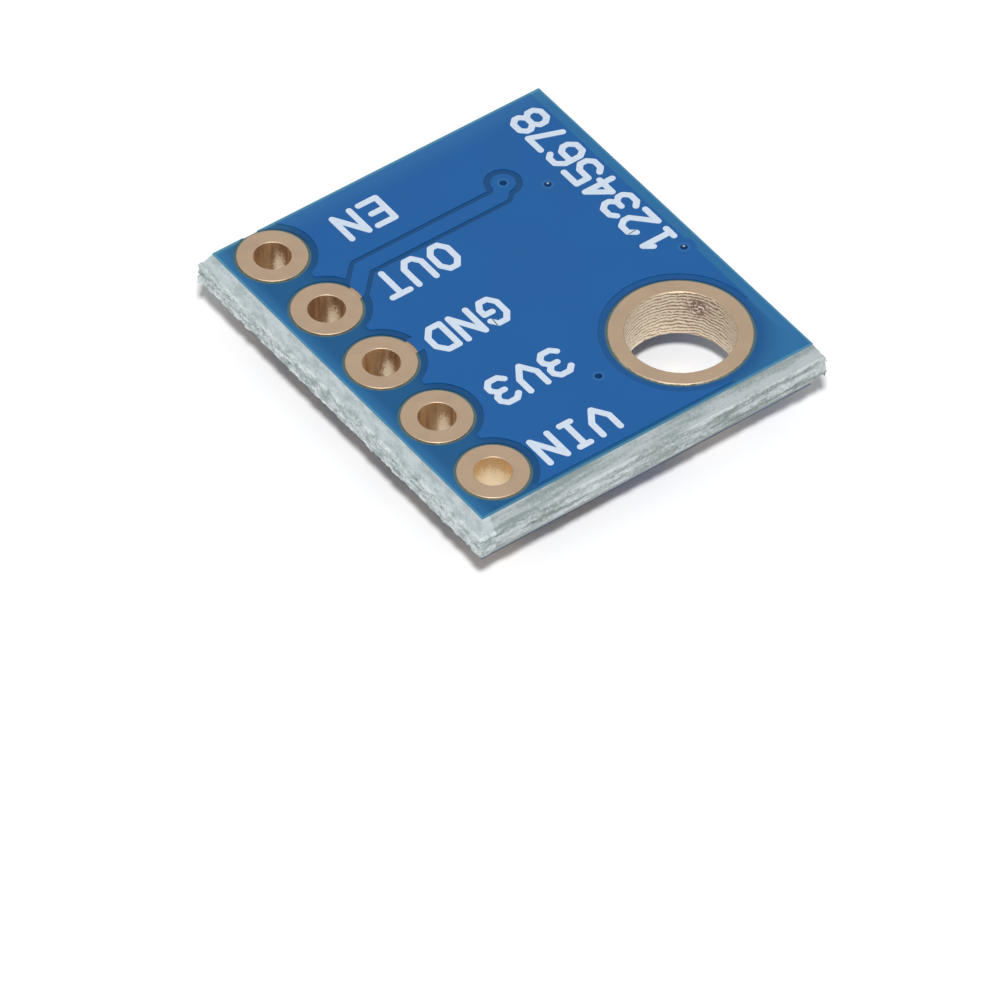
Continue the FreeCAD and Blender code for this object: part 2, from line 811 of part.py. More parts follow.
def make_sensor_base():
    """Ceramic base with a stepped cavity and half-round notches at its terminals."""
    body = doc.addObject("PartDesign::Body", "Sensor_base")
    bottom = "sensor_terminal_thickness"
    top = f"({bottom} + sensor_base_height)"
    outline = new_sketch(body, "outline", lift=bottom)
    draw_rectangle(outline, "sensor_length", "sensor_width")
    add_pad(body, "plate", outline, "sensor_base_height")
    notches = new_sketch(body, "notches", lift=top)
    for step in (-1, 0, 1):
        along = f"{step} * sensor_terminal_pitch"
        for side in ("-", ""):
            draw_circle(notches, f"{side}sensor_length / 2", along, "sensor_notch_radius")
            draw_circle(notches, along, f"{side}sensor_width / 2", "sensor_notch_radius")
    add_pocket(body, "notch_cuts", notches)
    shelf = new_sketch(body, "shelf", lift=top)
    draw_rectangle(shelf, "sensor_shelf_length", "sensor_shelf_width")
    add_pocket(body, "shelf_cut", shelf, "sensor_shelf_depth")
    pit = new_sketch(body, "pit", lift=f"({top} - sensor_shelf_depth)")
    draw_rectangle(pit, "sensor_pit_length", "sensor_pit_width")
    add_pocket(body, "pit_cut", pit, "sensor_pit_depth")
    SENSOR_SEAT.hold(body)
    return finish(body, "sensor_base")


def make_sensor_terminals():
    """Gold contacts under the base, each lining the notch at its edge."""
    width, reach = number("sensor_terminal_width"), number("sensor_terminal_reach")
    thickness, radius = number("sensor_terminal_thickness"), number("sensor_notch_radius")
    inner = radius - number("sensor_lining_thickness")
    height = number("sensor_lining_height")
    contact = Part.makeBox(reach, width, thickness, Vector(-reach, -width / 2, 0))
    lining = Part.makeCylinder(radius, height)
    package_side = Part.makeBox(radius, 2 * radius, height, Vector(-radius, -radius, 0))
    bore = Part.makeCylinder(inner, height)
    terminal = contact.fuse(lining.common(package_side)).cut(bore).removeSplitter()
    terminals = []
    for x, y, heading in sensor_terminals().values():
        copy = terminal.copy()
        copy.Placement = Placement(Vector(x, y, 0), Rotation(Vector(0, 0, 1), heading))
        terminals.append(copy)
    piece = doc.addObject("Part::Feature", "Sensor_terminals")
    piece.Shape = Part.makeCompound(terminals)
    SENSOR_SEAT.hold(piece)
    return finish(piece, "sensor_terminals")


def make_sensor_top():
    """The die in its pit, the seal on the rim and the glass lid."""
    rim = "(sensor_terminal_thickness + sensor_base_height)"
    pit_floor = f"({rim} - sensor_shelf_depth - sensor_pit_depth)"
    lid_length = "(sensor_length - 2 * sensor_lid_inset)"
    lid_width = "(sensor_width - 2 * sensor_lid_inset)"

    die = doc.addObject("PartDesign::Body", "Sensor_die")
    die_outline = new_sketch(die, "die_outline", lift=pit_floor)
    draw_rectangle(die_outline, "sensor_die_length", "sensor_die_width")
    add_pad(die, "die_block", die_outline, "sensor_die_thickness")
    SENSOR_SEAT.hold(die)
    finish(die, "sensor_die")

    seal = doc.addObject("PartDesign::Body", "Sensor_seal")
    seal_outline = new_sketch(seal, "seal_outline", lift=rim)
    draw_rectangle(seal_outline, lid_length, lid_width)
    draw_rectangle(
        seal_outline,
        f"({lid_length} - 2 * sensor_seal_width)",
        f"({lid_width} - 2 * sensor_seal_width)",
    )
    add_pad(seal, "seal_frame", seal_outline, "sensor_seal_thickness")
    SENSOR_SEAT.hold(seal)
    finish(seal, "sensor_lid_seal")

    lid = doc.addObject("PartDesign::Body", "Sensor_lid")
    lid_bottom = f"({rim} + sensor_seal_thickness)"
    lid_outline = new_sketch(lid, "lid_outline", lift=lid_bottom)
    draw_rectangle(lid_outline, lid_length, lid_width)
    pane = add_pad(lid, "pane", lid_outline, "sensor_lid_thickness")
    outer_level = number(lid_bottom) + number("sensor_lid_thickness")
    outer_edges = picked_edges(pane, lambda edge: abs(edge.BoundBox.ZMin - outer_level) < 1e-6)
    chamfer = lid.newObject("PartDesign::Chamfer", "lid_chamfer")
    chamfer.Base = (pane, outer_edges)
    chamfer.setExpression("Size", bound("sensor_lid_chamfer"))
    SENSOR_SEAT.hold(lid)
    finish(lid, "sensor_lid")


def make_regulator_body():
    """Moulded body that tapers away from the plane of its leads."""
    body = doc.addObject("PartDesign::Body", "Regulator_body")
    slim_length = "(regulator_length - 2 * regulator_draft_inset)"
    slim_width = "(regulator_width - 2 * regulator_draft_inset)"
    levels = {
        "body_foot": (slim_length, slim_width, "regulator_standoff"),
        "lead_plane_low": ("regulator_length", "regulator_width", "regulator_lead_height"),
        "lead_plane_high": (
            "regulator_length",
            "regulator_width",
            "(regulator_lead_height + regulator_lead_thickness)",
        ),
        "body_top": (slim_length, slim_width, SEAT_LEVEL),
    }
    outlines = []
    for name, (length, width, lift) in levels.items():
        outline = new_sketch(body, name, lift=lift)
        draw_rectangle(outline, length, width)
        outlines.append(outline)
    for name, lower, upper in zip(("lower_half", "lead_band", "upper_half"), outlines, outlines[1:]):
        add_loft(body, name, lower, upper)
    REGULATOR_SEAT.hold(body)
    return finish(body, "regulator_body")


def make_regulator_lead(name, x, y, heading):
    """A flat lead bent down to its foot and out along the land."""
    body = doc.addObject("PartDesign::Body", "Regulator_lead")
    # Its own X runs outwards from the middle of the package.
    root, tip = "regulator_width / 2", "regulator_lead_span / 2"
    inner = f"({tip} - regulator_foot_length)"
    outer = f"({inner} + regulator_lead_thickness)"
    thick, low = "regulator_lead_thickness", "regulator_lead_height"
    high = "(regulator_lead_height + regulator_lead_thickness)"
    side = new_sketch(body, "side_view", role="XZ_Plane")
    draw_polygon(side, [
        (root, low), (inner, low), (inner, "0"), (tip, "0"),
        (tip, thick), (outer, thick), (outer, high), (root, high),
    ])
    strip = add_pad(body, "strip", side, "regulator_lead_width", midplane=True)

    def bend_edges(corners):
        places = [(number(along), number(up)) for along, up in corners]

        def chosen(edge):
            middle_point = edge.BoundBox.Center
            level = edge.BoundBox.XLength < 1e-6 and edge.BoundBox.ZLength < 1e-6
            return level and any(
                math.hypot(middle_point.x - along, middle_point.z - up) < 1e-4 for along, up in places
            )

        return chosen

    inside = add_fillet(
        body, "inside_bends", strip, bend_edges([(inner, low), (outer, thick)]), "regulator_bend_radius"
    )
    add_fillet(
        body,
        "outside_bends",
        inside,
        bend_edges([(outer, high), (inner, "0")]),
        "(regulator_bend_radius + regulator_lead_thickness)",
    )
    offset = REGULATOR_SEAT.turn.multVec(Vector(number(x), 0, 0)).x
    sign = "+" if offset >= 0 else "-"
    shift = f"{sign} regulator_lead_spread / 2" if abs(offset) > 1e-9 else ""
    turn = REGULATOR_SEAT.turn * Rotation(Vector(0, 0, 1), heading)
    place(body, f"{REGULATOR_SEAT.x} {shift}", REGULATOR_SEAT.y, SEAT_LEVEL, turn)
    return finish(body, f"regulator_{name}")


def make_chip_body(name):
    """Ceramic block of a chip component, without its plated ends."""
    kind, height = CHIP_KINDS[name]
    skin = "2 * chip_plating"
    body = doc.addObject("PartDesign::Body", "Chip_body")
    outline = new_sketch(body, "outline", lift="chip_plating")
    draw_rectangle(outline, f"({kind}_length - {skin})", f"({kind}_width - {skin})")
    add_pad(body, "block", outline, f"({height} - {skin})")
    CHIP_SEATS[name].hold(body)
    return finish(body, f"{name}_body")


def add_box(name, corner, lengths):
    """A box whose near corner and side lengths are formulas."""
    box = doc.addObject("Part::Box", name)
    for side, formula in zip(("Length", "Width", "Height"), lengths):
        box.setExpression(side, bound(formula))
    place(box, *corner)
    return box


def make_chip_ends(name):
    """Plated ends that wrap the block on five sides."""
    kind, height = CHIP_KINDS[name]
    length, width, end = f"{kind}_length", f"{kind}_width", f"{kind}_end"
    skin = "2 * chip_plating"
    envelope = add_box("Chip_envelope", (f"-{length} / 2", f"-{width} / 2", "0"), (length, width, height))
    doc.recompute()
    rounded = doc.addObject("Part::Fillet", "Chip_rounded")
    rounded.Base = envelope
    radius = number("chip_edge_radius")
    rounded.Edges = [(index, radius, radius) for index in range(1, len(envelope.Shape.Edges) + 1)]
    # What is cut away is the bare middle of the chip and the block inside the ends.
    waist = add_box(
        "Chip_waist",
        (f"{end} - {length} / 2", f"-{width}", f"-{height} / 2"),
        (f"{length} - 2 * {end}", f"2 * {width}", f"2 * {height}"),
    )
    core = add_box(
        "Chip_core",
        (f"chip_plating - {length} / 2", f"chip_plating - {width} / 2", "chip_plating"),
        (f"{length} - {skin}", f"{width} - {skin}", f"{height} - {skin}"),
    )
    removed = doc.addObject("Part::Fuse", "Chip_removed")
    removed.Base, removed.Tool = waist, core
    ends = doc.addObject("Part::Cut", "Chip_ends")
    ends.Base, ends.Tool = rounded, removed
    CHIP_SEATS[name].hold(ends)
    return finish(ends, f"{name}_ends")


def make_resistor_coat():
    """Dark overcoat on the resistor's face, between its plated ends."""
    body = doc.addObject("PartDesign::Body", "Resistor_coat")
    outline = new_sketch(body, "coat_outline", lift="(resistor_height - chip_plating)")
    draw_rectangle(
        outline, "(small_chip_length - 2 * small_chip_end)", "(small_chip_width - 2 * chip_plating)"
    )
    add_pad(body, "coat", outline, "chip_plating")
    CHIP_SEATS["resistor"].hold(body)
    return finish(body, "resistor_coat")


def component_lands():
    """Every solder joint's footprint on the board, by component and terminal."""
    groups = {
        "sensor": (SENSOR_SEAT, sensor_joints()),
        "regulator": (REGULATOR_SEAT, regulator_joints()),
    }
    for name, seat in CHIP_SEATS.items():
        groups[name] = (seat, chip_joints(name))
    return {
        name: {terminal: seat.on_board(joint.land()) for terminal, joint in joints.items()}
        for name, (seat, joints) in groups.items()
    }


LANDS = component_lands()


def main():
    """Builds every piece, checks it and writes its file."""
    make_laminate()
    platings = [
        make_plating(
            f"pin_hole_plating_{pin + 1}", pin_x(pin), PIN_ROW_Y,
            "pin_hole_diameter", "pin_pad_diameter", PAD_HEIGHT, "pad_rim_radius",
        )
        for pin in range(PIN_COUNT)
    ]
    platings.append(make_plating(
        "mounting_hole_plating", MOUNT_X, MOUNT_Y,
        "mount_hole_diameter", "mount_pad_diameter", PAD_HEIGHT, "pad_rim_radius",
    ))
    for name, (x, y) in VIAS.items():
        platings.append(make_plating(
            f"{name}_plating", x, y, "via_hole_diameter", "via_pad_diameter", "copper_thickness", None,
        ))
    doc.recompute()

    back_layer = Layer(BACK_LEVEL, f"({BACK_LEVEL} + copper_thickness)")
    front_layer = Layer("component_reach", FRONT_LEVEL)
    back_pads, front_pads = pad_discs(back_layer, 0), pad_discs(front_layer, 0)
    back_pour, back_track = back_artwork(back_layer, 0)
    front_pour, front_nets = front_artwork(front_layer, 0)
    back_copper = [
        make_copper("back_ground_pour", back_pour.cut(back_pads)),
        make_copper("back_output_track", back_track.cut(back_pads)),
    ]
    front_copper = [make_copper("front_ground_pour", front_pour.cut(front_pads))]
    for name, net in front_nets.items():
        front_copper.append(make_copper(name, net.cut(front_pads)))

    make_mask(
        "back_solder_mask", BACK_LEVEL, 1,
        lambda layer, grow: list(back_artwork(layer, grow)),
        back_copper + platings, hole_openings,
    )

    def front_raised(layer, grow):
        pour, nets = front_artwork(layer, grow)
        return [pour] + list(nets.values())

    make_mask(
        "front_solder_mask", FRONT_LEVEL, -1, front_raised, front_copper + platings, front_openings
    )

    make_sensor_base()
    make_sensor_terminals()
    make_sensor_top()
    make_solder("sensor_solder", SENSOR_SEAT, sensor_joints())
    make_regulator_body()
    for name, (x, y, heading) in regulator_leads().items():
        make_regulator_lead(name, x, y, heading)
    make_solder("regulator_solder", REGULATOR_SEAT, regulator_joints())
    for name, seat in CHIP_SEATS.items():
        make_chip_body(name)
        make_chip_ends(name)
        make_solder(f"{name}_solder", seat, chip_joints(name))
    make_resistor_coat()
    doc.recompute()

    for item in doc.Objects:
        if "Invalid" in item.State or "Error" in item.State:
            raise RuntimeError(f"{item.Label} failed: {item.State}")
    os.makedirs("parts", exist_ok=True)
    for piece in nodes:
        if piece.Shape.isNull() or not piece.Shape.isValid():
            raise RuntimeError(f"{piece.Label} has no valid shape")
        piece.Shape.exportStep(f"parts/{piece.Label}.step")


main()
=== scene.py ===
"""Dresses the CAD model of an ultraviolet sensor board: print, broken edges, wires, finishes."""

import math

import bpy
from mathutils import Matrix, Vector


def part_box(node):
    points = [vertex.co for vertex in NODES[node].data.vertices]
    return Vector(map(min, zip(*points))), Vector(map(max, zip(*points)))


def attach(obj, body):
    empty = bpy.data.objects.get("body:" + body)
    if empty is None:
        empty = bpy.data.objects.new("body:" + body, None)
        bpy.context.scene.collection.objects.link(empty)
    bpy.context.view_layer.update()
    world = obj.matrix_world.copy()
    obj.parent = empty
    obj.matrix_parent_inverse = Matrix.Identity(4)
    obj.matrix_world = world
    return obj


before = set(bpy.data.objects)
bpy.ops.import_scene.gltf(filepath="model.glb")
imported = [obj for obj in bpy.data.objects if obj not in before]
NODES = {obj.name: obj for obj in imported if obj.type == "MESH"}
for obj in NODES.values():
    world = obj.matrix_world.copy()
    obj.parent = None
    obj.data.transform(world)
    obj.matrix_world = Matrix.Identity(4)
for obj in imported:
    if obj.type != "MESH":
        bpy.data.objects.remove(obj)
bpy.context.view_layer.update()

bl_info = {
    "name": "Ultraviolet sensor board",
    "version": (1, 0, 0),
    "blender": (4, 5, 0),
    "location": "3D View > Sidebar > Sensor board",
    "description": "Print, broken edges, bond wires and finishes for the board's CAD model",
    "category": "Object",
}

MM = 0.001

# Levels and places taken from the CAD model, in metres
LAMINATE_LOW, LAMINATE_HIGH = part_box("laminate")
MASK_LOW, MASK_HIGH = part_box("back_solder_mask")
RING_LOW, RING_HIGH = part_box("mounting_hole_plating")
DIE_LOW, DIE_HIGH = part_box("sensor_die")
BASE_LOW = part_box("sensor_base")[0]
BOARD_TOP = MASK_HIGH.z
BOARD_MIDDLE = (LAMINATE_LOW.z + LAMINATE_HIGH.z) / 2
RING_CENTRE = (RING_LOW + RING_HIGH) / 2
RING_RADIUS = (RING_HIGH.x - RING_LOW.x) / 2
RING_WIDTH = 0.45 * MM
PIN_CENTRES = [sum(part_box(f"pin_hole_plating_{pin}"), Vector()) / 2 for pin in range(1, 6)]
PIN_PITCH = PIN_CENTRES[1].x - PIN_CENTRES[0].x
# Middles of the vias' mouths, and the radius of a mouth
VIA_CENTRES = {
    name: Vector((*(sum(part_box(name), Vector()) / 2).xy, BOARD_TOP))
    for name in NODES if name.endswith("via_plating")
}
VIA_RADIUS = 0.1 * MM
# Depth of the shelf that the bond wires end on, below the rim of the sensor's package
SHELF_DEPTH = 0.12 * MM
# Height of the laminate's scored slope, above and below the broken web
SCORE_DEPTH = 0.42 * MM

# Stroke letters in a cell one wide and one high: each is a list of lines through their corners.
LETTERS = {
    "E": [[(1, 0), (0, 0), (0, 1), (1, 1)], [(0, 0.5), (0.8, 0.5)]],
    "N": [[(0, 0), (0, 1), (1, 0), (1, 1)]],
    "O": [[
        (0.3, 0), (0.7, 0), (1, 0.25), (1, 0.75), (0.7, 1), (0.3, 1), (0, 0.75), (0, 0.25),
        (0.3, 0),
    ]],
    "U": [[(0, 1), (0, 0.25), (0.3, 0), (0.7, 0), (1, 0.25), (1, 1)]],
    "T": [[(0, 1), (1, 1)], [(0.5, 1), (0.5, 0)]],
    "G": [[
        (1, 0.8), (0.75, 1), (0.3, 1), (0, 0.75), (0, 0.25), (0.3, 0), (0.75, 0), (1, 0.25),
        (1, 0.5), (0.55, 0.5),
    ]],
    "D": [[(0, 0), (0, 1), (0.6, 1), (1, 0.7), (1, 0.3), (0.6, 0), (0, 0)]],
    "V": [[(0, 1), (0, 0.45), (0.5, 0), (1, 0.45), (1, 1)]],
    "I": [[(0.2, 1), (0.8, 1)], [(0.2, 0), (0.8, 0)], [(0.5, 0), (0.5, 1)]],
    "1": [[(0.2, 0.75), (0.5, 1), (0.5, 0)], [(0.2, 0), (0.8, 0)]],
    "2": [[(0, 0.8), (0.25, 1), (0.75, 1), (1, 0.8), (1, 0.6), (0, 0), (1, 0)]],
    "3": [
        [(0, 0.85), (0.25, 1), (0.75, 1), (1, 0.83), (1, 0.67), (0.75, 0.5), (0.4, 0.5)],
        [(0.75, 0.5), (1, 0.33), (1, 0.17), (0.75, 0), (0.25, 0), (0, 0.15)],
    ],
    "4": [[(0.75, 0), (0.75, 1), (0, 0.35), (1, 0.35)]],
    "5": [[
        (1, 1), (0, 1), (0, 0.57), (0.7, 0.57), (1, 0.4), (1, 0.17), (0.75, 0), (0.25, 0),
        (0, 0.15),
    ]],
    "6": [[
        (0.95, 0.87), (0.75, 1), (0.3, 1), (0, 0.75), (0, 0.2), (0.25, 0), (0.75, 0), (1, 0.2),
        (1, 0.38), (0.75, 0.55), (0, 0.55),
    ]],
    "7": [[(0, 1), (1, 1), (0.4, 0)]],
    "8": [[
        (0.25, 0.52), (0, 0.7), (0, 0.84), (0.25, 1), (0.75, 1), (1, 0.84), (1, 0.7), (0.75, 0.52),
        (1, 0.36), (1, 0.16), (0.75, 0), (0.25, 0), (0, 0.16), (0, 0.36), (0.25, 0.52),
        (0.75, 0.52),
    ]],
}
# What is printed: the words and the middle of each in millimetres, then the directions in which
# it reads and in which its letters stand up
PIN_NAMES = [
    ("EN", (-4.875, -1.44)),
    ("OUT", (-2.36, -1.44)),
    ("GND", (0.125, -1.6)),
    ("3V3", (2.71, -1.415)),
    ("VIN", (5.185, -1.72)),
]
PIN_NAME_AXES = (Vector((0, -1, 0)), Vector((1, 0, 0)))
NUMBER_ROW = ("12345678", (-2.375, 4.59))
NUMBER_AXES = (Vector((-1, 0, 0)), Vector((0, -1, 0)))

# Fitted camera: where it stands in millimetres, its axes and its focal length in image widths
CAMERA_PLACE = Vector((138.403, -105.721, 176.653))
CAMERA_RIGHT = Vector((0.59689889, 0.80224245, 0.01089806))
CAMERA_DOWN = Vector((0.58388785, -0.42503868, -0.69167702))
CAMERA_FORWARD = Vector((-0.55026057, 0.41922448, -0.72212474))
FOCAL_WIDTHS = 9.0
# The floor's reach from the board's middle, its level, a hair below the parts that rest on it, so
# no two faces lie in one plane, and the distances between which it fades to white, all in metres
FLOOR_REACH = 0.6
FLOOR_LEVEL = -0.004 * MM
FADE_START, FADE_END = 0.04, 0.25
# The key stands above the camera: it draws thin highlights on the rims that face the camera, and
# the board's shade falls behind its near edges, so only a narrow dark band of it is seen.
KEY_PLACE = Vector((0.176, -0.134, 0.333))
KEY_SIZE = 0.035


# Sizes and colours that a user would change


def length(name, description, default):
    """A length property in metres."""
    return bpy.props.FloatProperty(
        name=name, description=description, default=default, unit="LENGTH"
    )


def srgb(hexadecimal):
    """An sRGB hex colour as linear red, green, blue and alpha."""
    channels = [int(hexadecimal[place:place + 2], 16) / 255 for place in (1, 3, 5)]
    linear = [c / 12.92 if c <= 0.04045 else ((c + 0.055) / 1.055) ** 2.4 for c in channels]
    return (*linear, 1.0)


def colour(name, description, hexadecimal):
    """A colour property given as an sRGB hex colour."""
    return bpy.props.FloatVectorProperty(
        name=name,
        description=description,
        subtype="COLOR",
        size=4,
        min=0,
        max=1,
        default=srgb(hexadecimal),
    )


class PrintSettings(bpy.types.PropertyGroup):
    """White print on the solder side."""

    stroke_width: length("Stroke width", "Width of a printed line", 0.19 * MM)
    letter_width: length(
        "Letter width", "Width of a letter between the middles of its lines", 0.58 * MM
    )
    letter_height: length(
        "Letter height", "Height of a letter between the middles of its lines", 0.94 * MM
    )
    name_pitch: length(
        "Name pitch", "Distance from one letter of a pin name to the next", 0.89 * MM
    )
    number_pitch: length(
        "Number pitch", "Distance from one number of the row to the next", 0.83 * MM
    )
    ink_thickness: length("Ink thickness", "Height of the ink above the solder mask", 0.015 * MM)
    ink: colour("Ink", "Colour of the print", "#CDDAE9")


class EdgeSettings(bpy.types.PropertyGroup):
    """Glass-fibre edges where the board was broken out of its panel."""

    roughness_depth: length("Roughness depth", "Height of the broken fibres", 0.07 * MM)
    streak_length: length("Streak length", "Length of a torn streak on the pin side", 0.45 * MM)
    long_streak_length: length(
        "Long streak length", "Length of a torn streak on the other sides", 1.8 * MM
    )
    layer_pitch: length("Layer pitch", "Thickness of a torn streak", 0.17 * MM)
    cloth_pitch: length(
        "Cloth pitch", "Distance between layers of glass cloth on the other sides", 0.43 * MM
    )
    sliver_length: length("Sliver length", "Length of a loose fibre end", 0.24 * MM)
    slivers: bpy.props.IntProperty(
        name="Slivers", description="Loose fibre ends per side", default=380
    )
    glass: colour("Glass fibre", "Colour of the broken glass fibre", "#C8D0D2")
    # Darker resin between the fibres, together with painted shade in the hollows of the edge's
    # relief
    pits_and_hollow_shade: colour("Pits", "Colour of the gaps between fibres", "#8C9896")
    slope: colour("Slope", "Colour of the smooth scored slopes", "#B4C0C6")
    face: colour("Face", "Colour of the bare resin round the pads", "#4A6468")


class MaskSettings(bpy.types.PropertyGroup):
    """Blue solder mask, coloured by what lies under it, with painted shade in gaps and painted
    light over bare margins.
    """

    over_copper: colour("Over copper", "Mask that covers copper", "#135593")
    # Painted shade: the narrow gaps are darker than the wide bare margins, as the copper beside
    # them shades them
    over_gap_shaded: colour("Over gaps", "Mask in the gaps between copper areas", "#044272")
    # Painted light: over the wide bare margins the mask is lighter than in the gaps, as light comes
    # up through the board
    over_laminate: colour(
        "Over bare laminate", "Mask along the pin edge and the other bare margins", "#0F4F7D"
    )
    # Painted light: palest near the board's outline, where the most light comes up through the
    # board
    border_lit_through: colour(
        "Border", "Mask over bare laminate near the board's outline, where it is thinner", "#246493"
    )
    rim: colour("Rim", "Thin edge of the mask, where it was scored", "#5A98AC")
    rim_width: length("Rim width", "Width of the mask's thin edge", 0.05 * MM)
    roughness: bpy.props.FloatProperty(
        name="Roughness", description="Gloss of the mask", default=0.33
    )


class PlatingSettings(bpy.types.PropertyGroup):
    """Immersion gold on the pads and in the holes."""

    gold: colour("Gold", "Colour of the pads", "#B5A08A")
    barrel: colour("Barrel", "Colour of the mounting hole's wall", "#F3E6D0")
    # Painted shade: the drill's grooves are painted darker than the ridges
    groove_shade: colour("Groove", "Colour of the drill's grooves in the mounting hole", "#B0967A")
    tarnish: colour("Tarnish", "Colour of the mounting hole's brown patch", "#937264")
    pin_wall: colour("Pin wall", "Colour of the pin holes' walls", "#E2C398")
    pin_shade: colour("Pin shade", "Colour of the pin holes' darker streaks", "#B18C6F")
    # Painted reflection: a pale speckled patch where the walls reflect the light, also made less
    # metallic
    film_and_glare: colour("Film", "Colour of the pale speckled film low in the pin holes", "#F1E2C4")
    ridge_pitch: length(
        "Ridge pitch", "Distance between the ridges in the mounting hole", 0.12 * MM
    )


class WireSettings(bpy.types.PropertyGroup):
    """Gold wires from the sensor's die to the shelf of its package."""

    diameter: length("Wire diameter", "Diameter of a bond wire", 0.025 * MM)
    loop_height: length("Loop height", "Rise of a wire above the die", 0.06 * MM)


class StageSettings(bpy.types.PropertyGroup):
    """Floor, lights and camera."""

    floor: colour("Floor", "Colour of the floor", "#FAFAFA")
    key_power: bpy.props.FloatProperty(
        name="Key power",
        description="Power of the soft light above the camera",
        default=1.4,
        unit="POWER",
    )
    surround: bpy.props.FloatProperty(
        name="Surround", description="Strength of the light all round", default=0.4
    )


# Small tools for nodes, meshes and materials


def set_inputs(tree, node, inputs):
    """Gives each named input of a node a value or the output of another node."""
    for name, value in inputs.items():
        if isinstance(value, bpy.types.NodeSocket):
            tree.links.new(value, node.inputs[name])
        else:
            node.inputs[name].default_value = value


def add_node(tree, kind, inputs=None, **settings):
    """Adds a node with its settings and its inputs."""
    node = tree.nodes.new(kind)
    for name, value in settings.items():
        setattr(node, name, value)
    set_inputs(tree, node, inputs or {})
    return node


def band(tree, value, start, end):
    """Rises smoothly from zero to one as a value goes from start to end."""
    return add_node(
        tree,
        "ShaderNodeMapRange",
        {"Value": value, "From Min": start, "From Max": end},
        interpolation_type="SMOOTHSTEP",
    ).outputs["Result"]


def highest(tree, values):
    """The highest of several values."""
    top, *others = values
    for other in others:
        top = add_node(tree, "ShaderNodeMath", {0: top, 1: other}, operation="MAXIMUM").outputs[0]
    return top


def from_middle(tree, level):
    """Distance of a level from the middle of the board, up or down."""
    above = add_node(tree, "ShaderNodeMath", {0: level, 1: BOARD_MIDDLE}, operation="SUBTRACT")
    return add_node(tree, "ShaderNodeMath", {0: above.outputs[0]}, operation="ABSOLUTE").outputs[0]


def new_material(name):
    """A material, its tree, its surface shader and the place that is shaded."""
    material = bpy.data.materials.new(name)
    material.use_nodes = True
    tree = material.node_tree
    tree.nodes.clear()
    shader = add_node(tree, "ShaderNodeBsdfPrincipled")
    output = add_node(tree, "ShaderNodeOutputMaterial")
    tree.links.new(shader.outputs["BSDF"], output.inputs["Surface"])
    place = add_node(tree, "ShaderNodeTexCoord").outputs["Object"]
    return material, tree, shader, place


def new_tree(name, inputs):
    """A Geometry Nodes tree with a geometry input, other inputs by name, and a geometry output."""
    tree = bpy.data.node_groups.new(name, "GeometryNodeTree")
    tree.interface.new_socket("Geometry", in_out="INPUT", socket_type="NodeSocketGeometry")
    for label, socket_type in inputs.items():
        tree.interface.new_socket(label, in_out="INPUT", socket_type=socket_type)
    tree.interface.new_socket("Geometry", in_out="OUTPUT", socket_type="NodeSocketGeometry")
    entry = add_node(tree, "NodeGroupInput")
    return tree, entry


def end_tree(tree, geometry, material):
    """Ends a tree in real geometry with its material."""
    real = add_node(tree, "GeometryNodeRealizeInstances", {"Geometry": geometry})
    finished = add_node(
        tree,
        "GeometryNodeSetMaterial",
        {"Geometry": real.outputs["Geometry"], "Material": material},
    )
    add_node(tree, "NodeGroupOutput", {"Geometry": finished.outputs["Geometry"]})


def grow(name, base, tree, values):
    """A plain mesh piece made by a Geometry Nodes tree from a base mesh."""
    piece = bpy.data.objects.new(name, base)
    bpy.context.scene.collection.objects.link(piece)
    modifier = piece.modifiers.new("Growth", "NODES")
    modifier.node_group = tree
    for item in tree.interface.items_tree:
        if item.in_out == "INPUT" and item.name in values:
            modifier[item.identifier] = values[item.name]
    evaluated = piece.evaluated_get(bpy.context.evaluated_depsgraph_get())
    mesh = bpy.data.meshes.new_from_object(evaluated)
    piece.modifiers.remove(modifier)
    piece.data = mesh
    if not len(mesh.polygons):
        raise RuntimeError(f"{name} came out empty")
    return piece


def line_mesh(name, lines):
    """A mesh of edges through lists of points."""
    points, edges = [], []
    for line in lines:
        first = len(points)
        points += [tuple(point) for point in line]
        edges += [(first + step, first + step + 1) for step in range(len(line) - 1)]
    mesh = bpy.data.meshes.new(name)
    mesh.from_pydata(points, edges, [])
    return mesh


def dress(material, *names):
    """Gives a material to CAD nodes."""
    for name in names:
        mesh = NODES[name].data
        if not mesh.materials:
            mesh.materials.append(material)
        for place in range(len(mesh.materials)):
            mesh.materials[place] = material


# Print


def white_ink(ink):
    """Epoxy marking ink, screen printed: matt white with a faint grain, and thinner in places."""
    material, tree, shader, place = new_material("white_marking_ink_printed")
    grain = add_node(
        tree, "ShaderNodeTexNoise", {"Vector": place, "Scale": 1 / (0.12 * MM), "Detail": 3.0}
    )
    thin = [channel * 0.8 for channel in ink[:3]] + [1.0]
    shade = add_node(
        tree, "ShaderNodeMix", {"Factor": grain.outputs["Fac"], 6: thin, 7: ink}, data_type="RGBA"
    )
    bump = add_node(
        tree,
        "ShaderNodeBump",
        {"Height": grain.outputs["Fac"], "Strength": 0.3, "Distance": 0.004 * MM},
    )
    set_inputs(tree, shader, {
        "Base Color": shade.outputs[2],
        "Normal": bump.outputs["Normal"],
        "Roughness": 0.55,
        "Specular IOR Level": 0.2,
    })
    return material


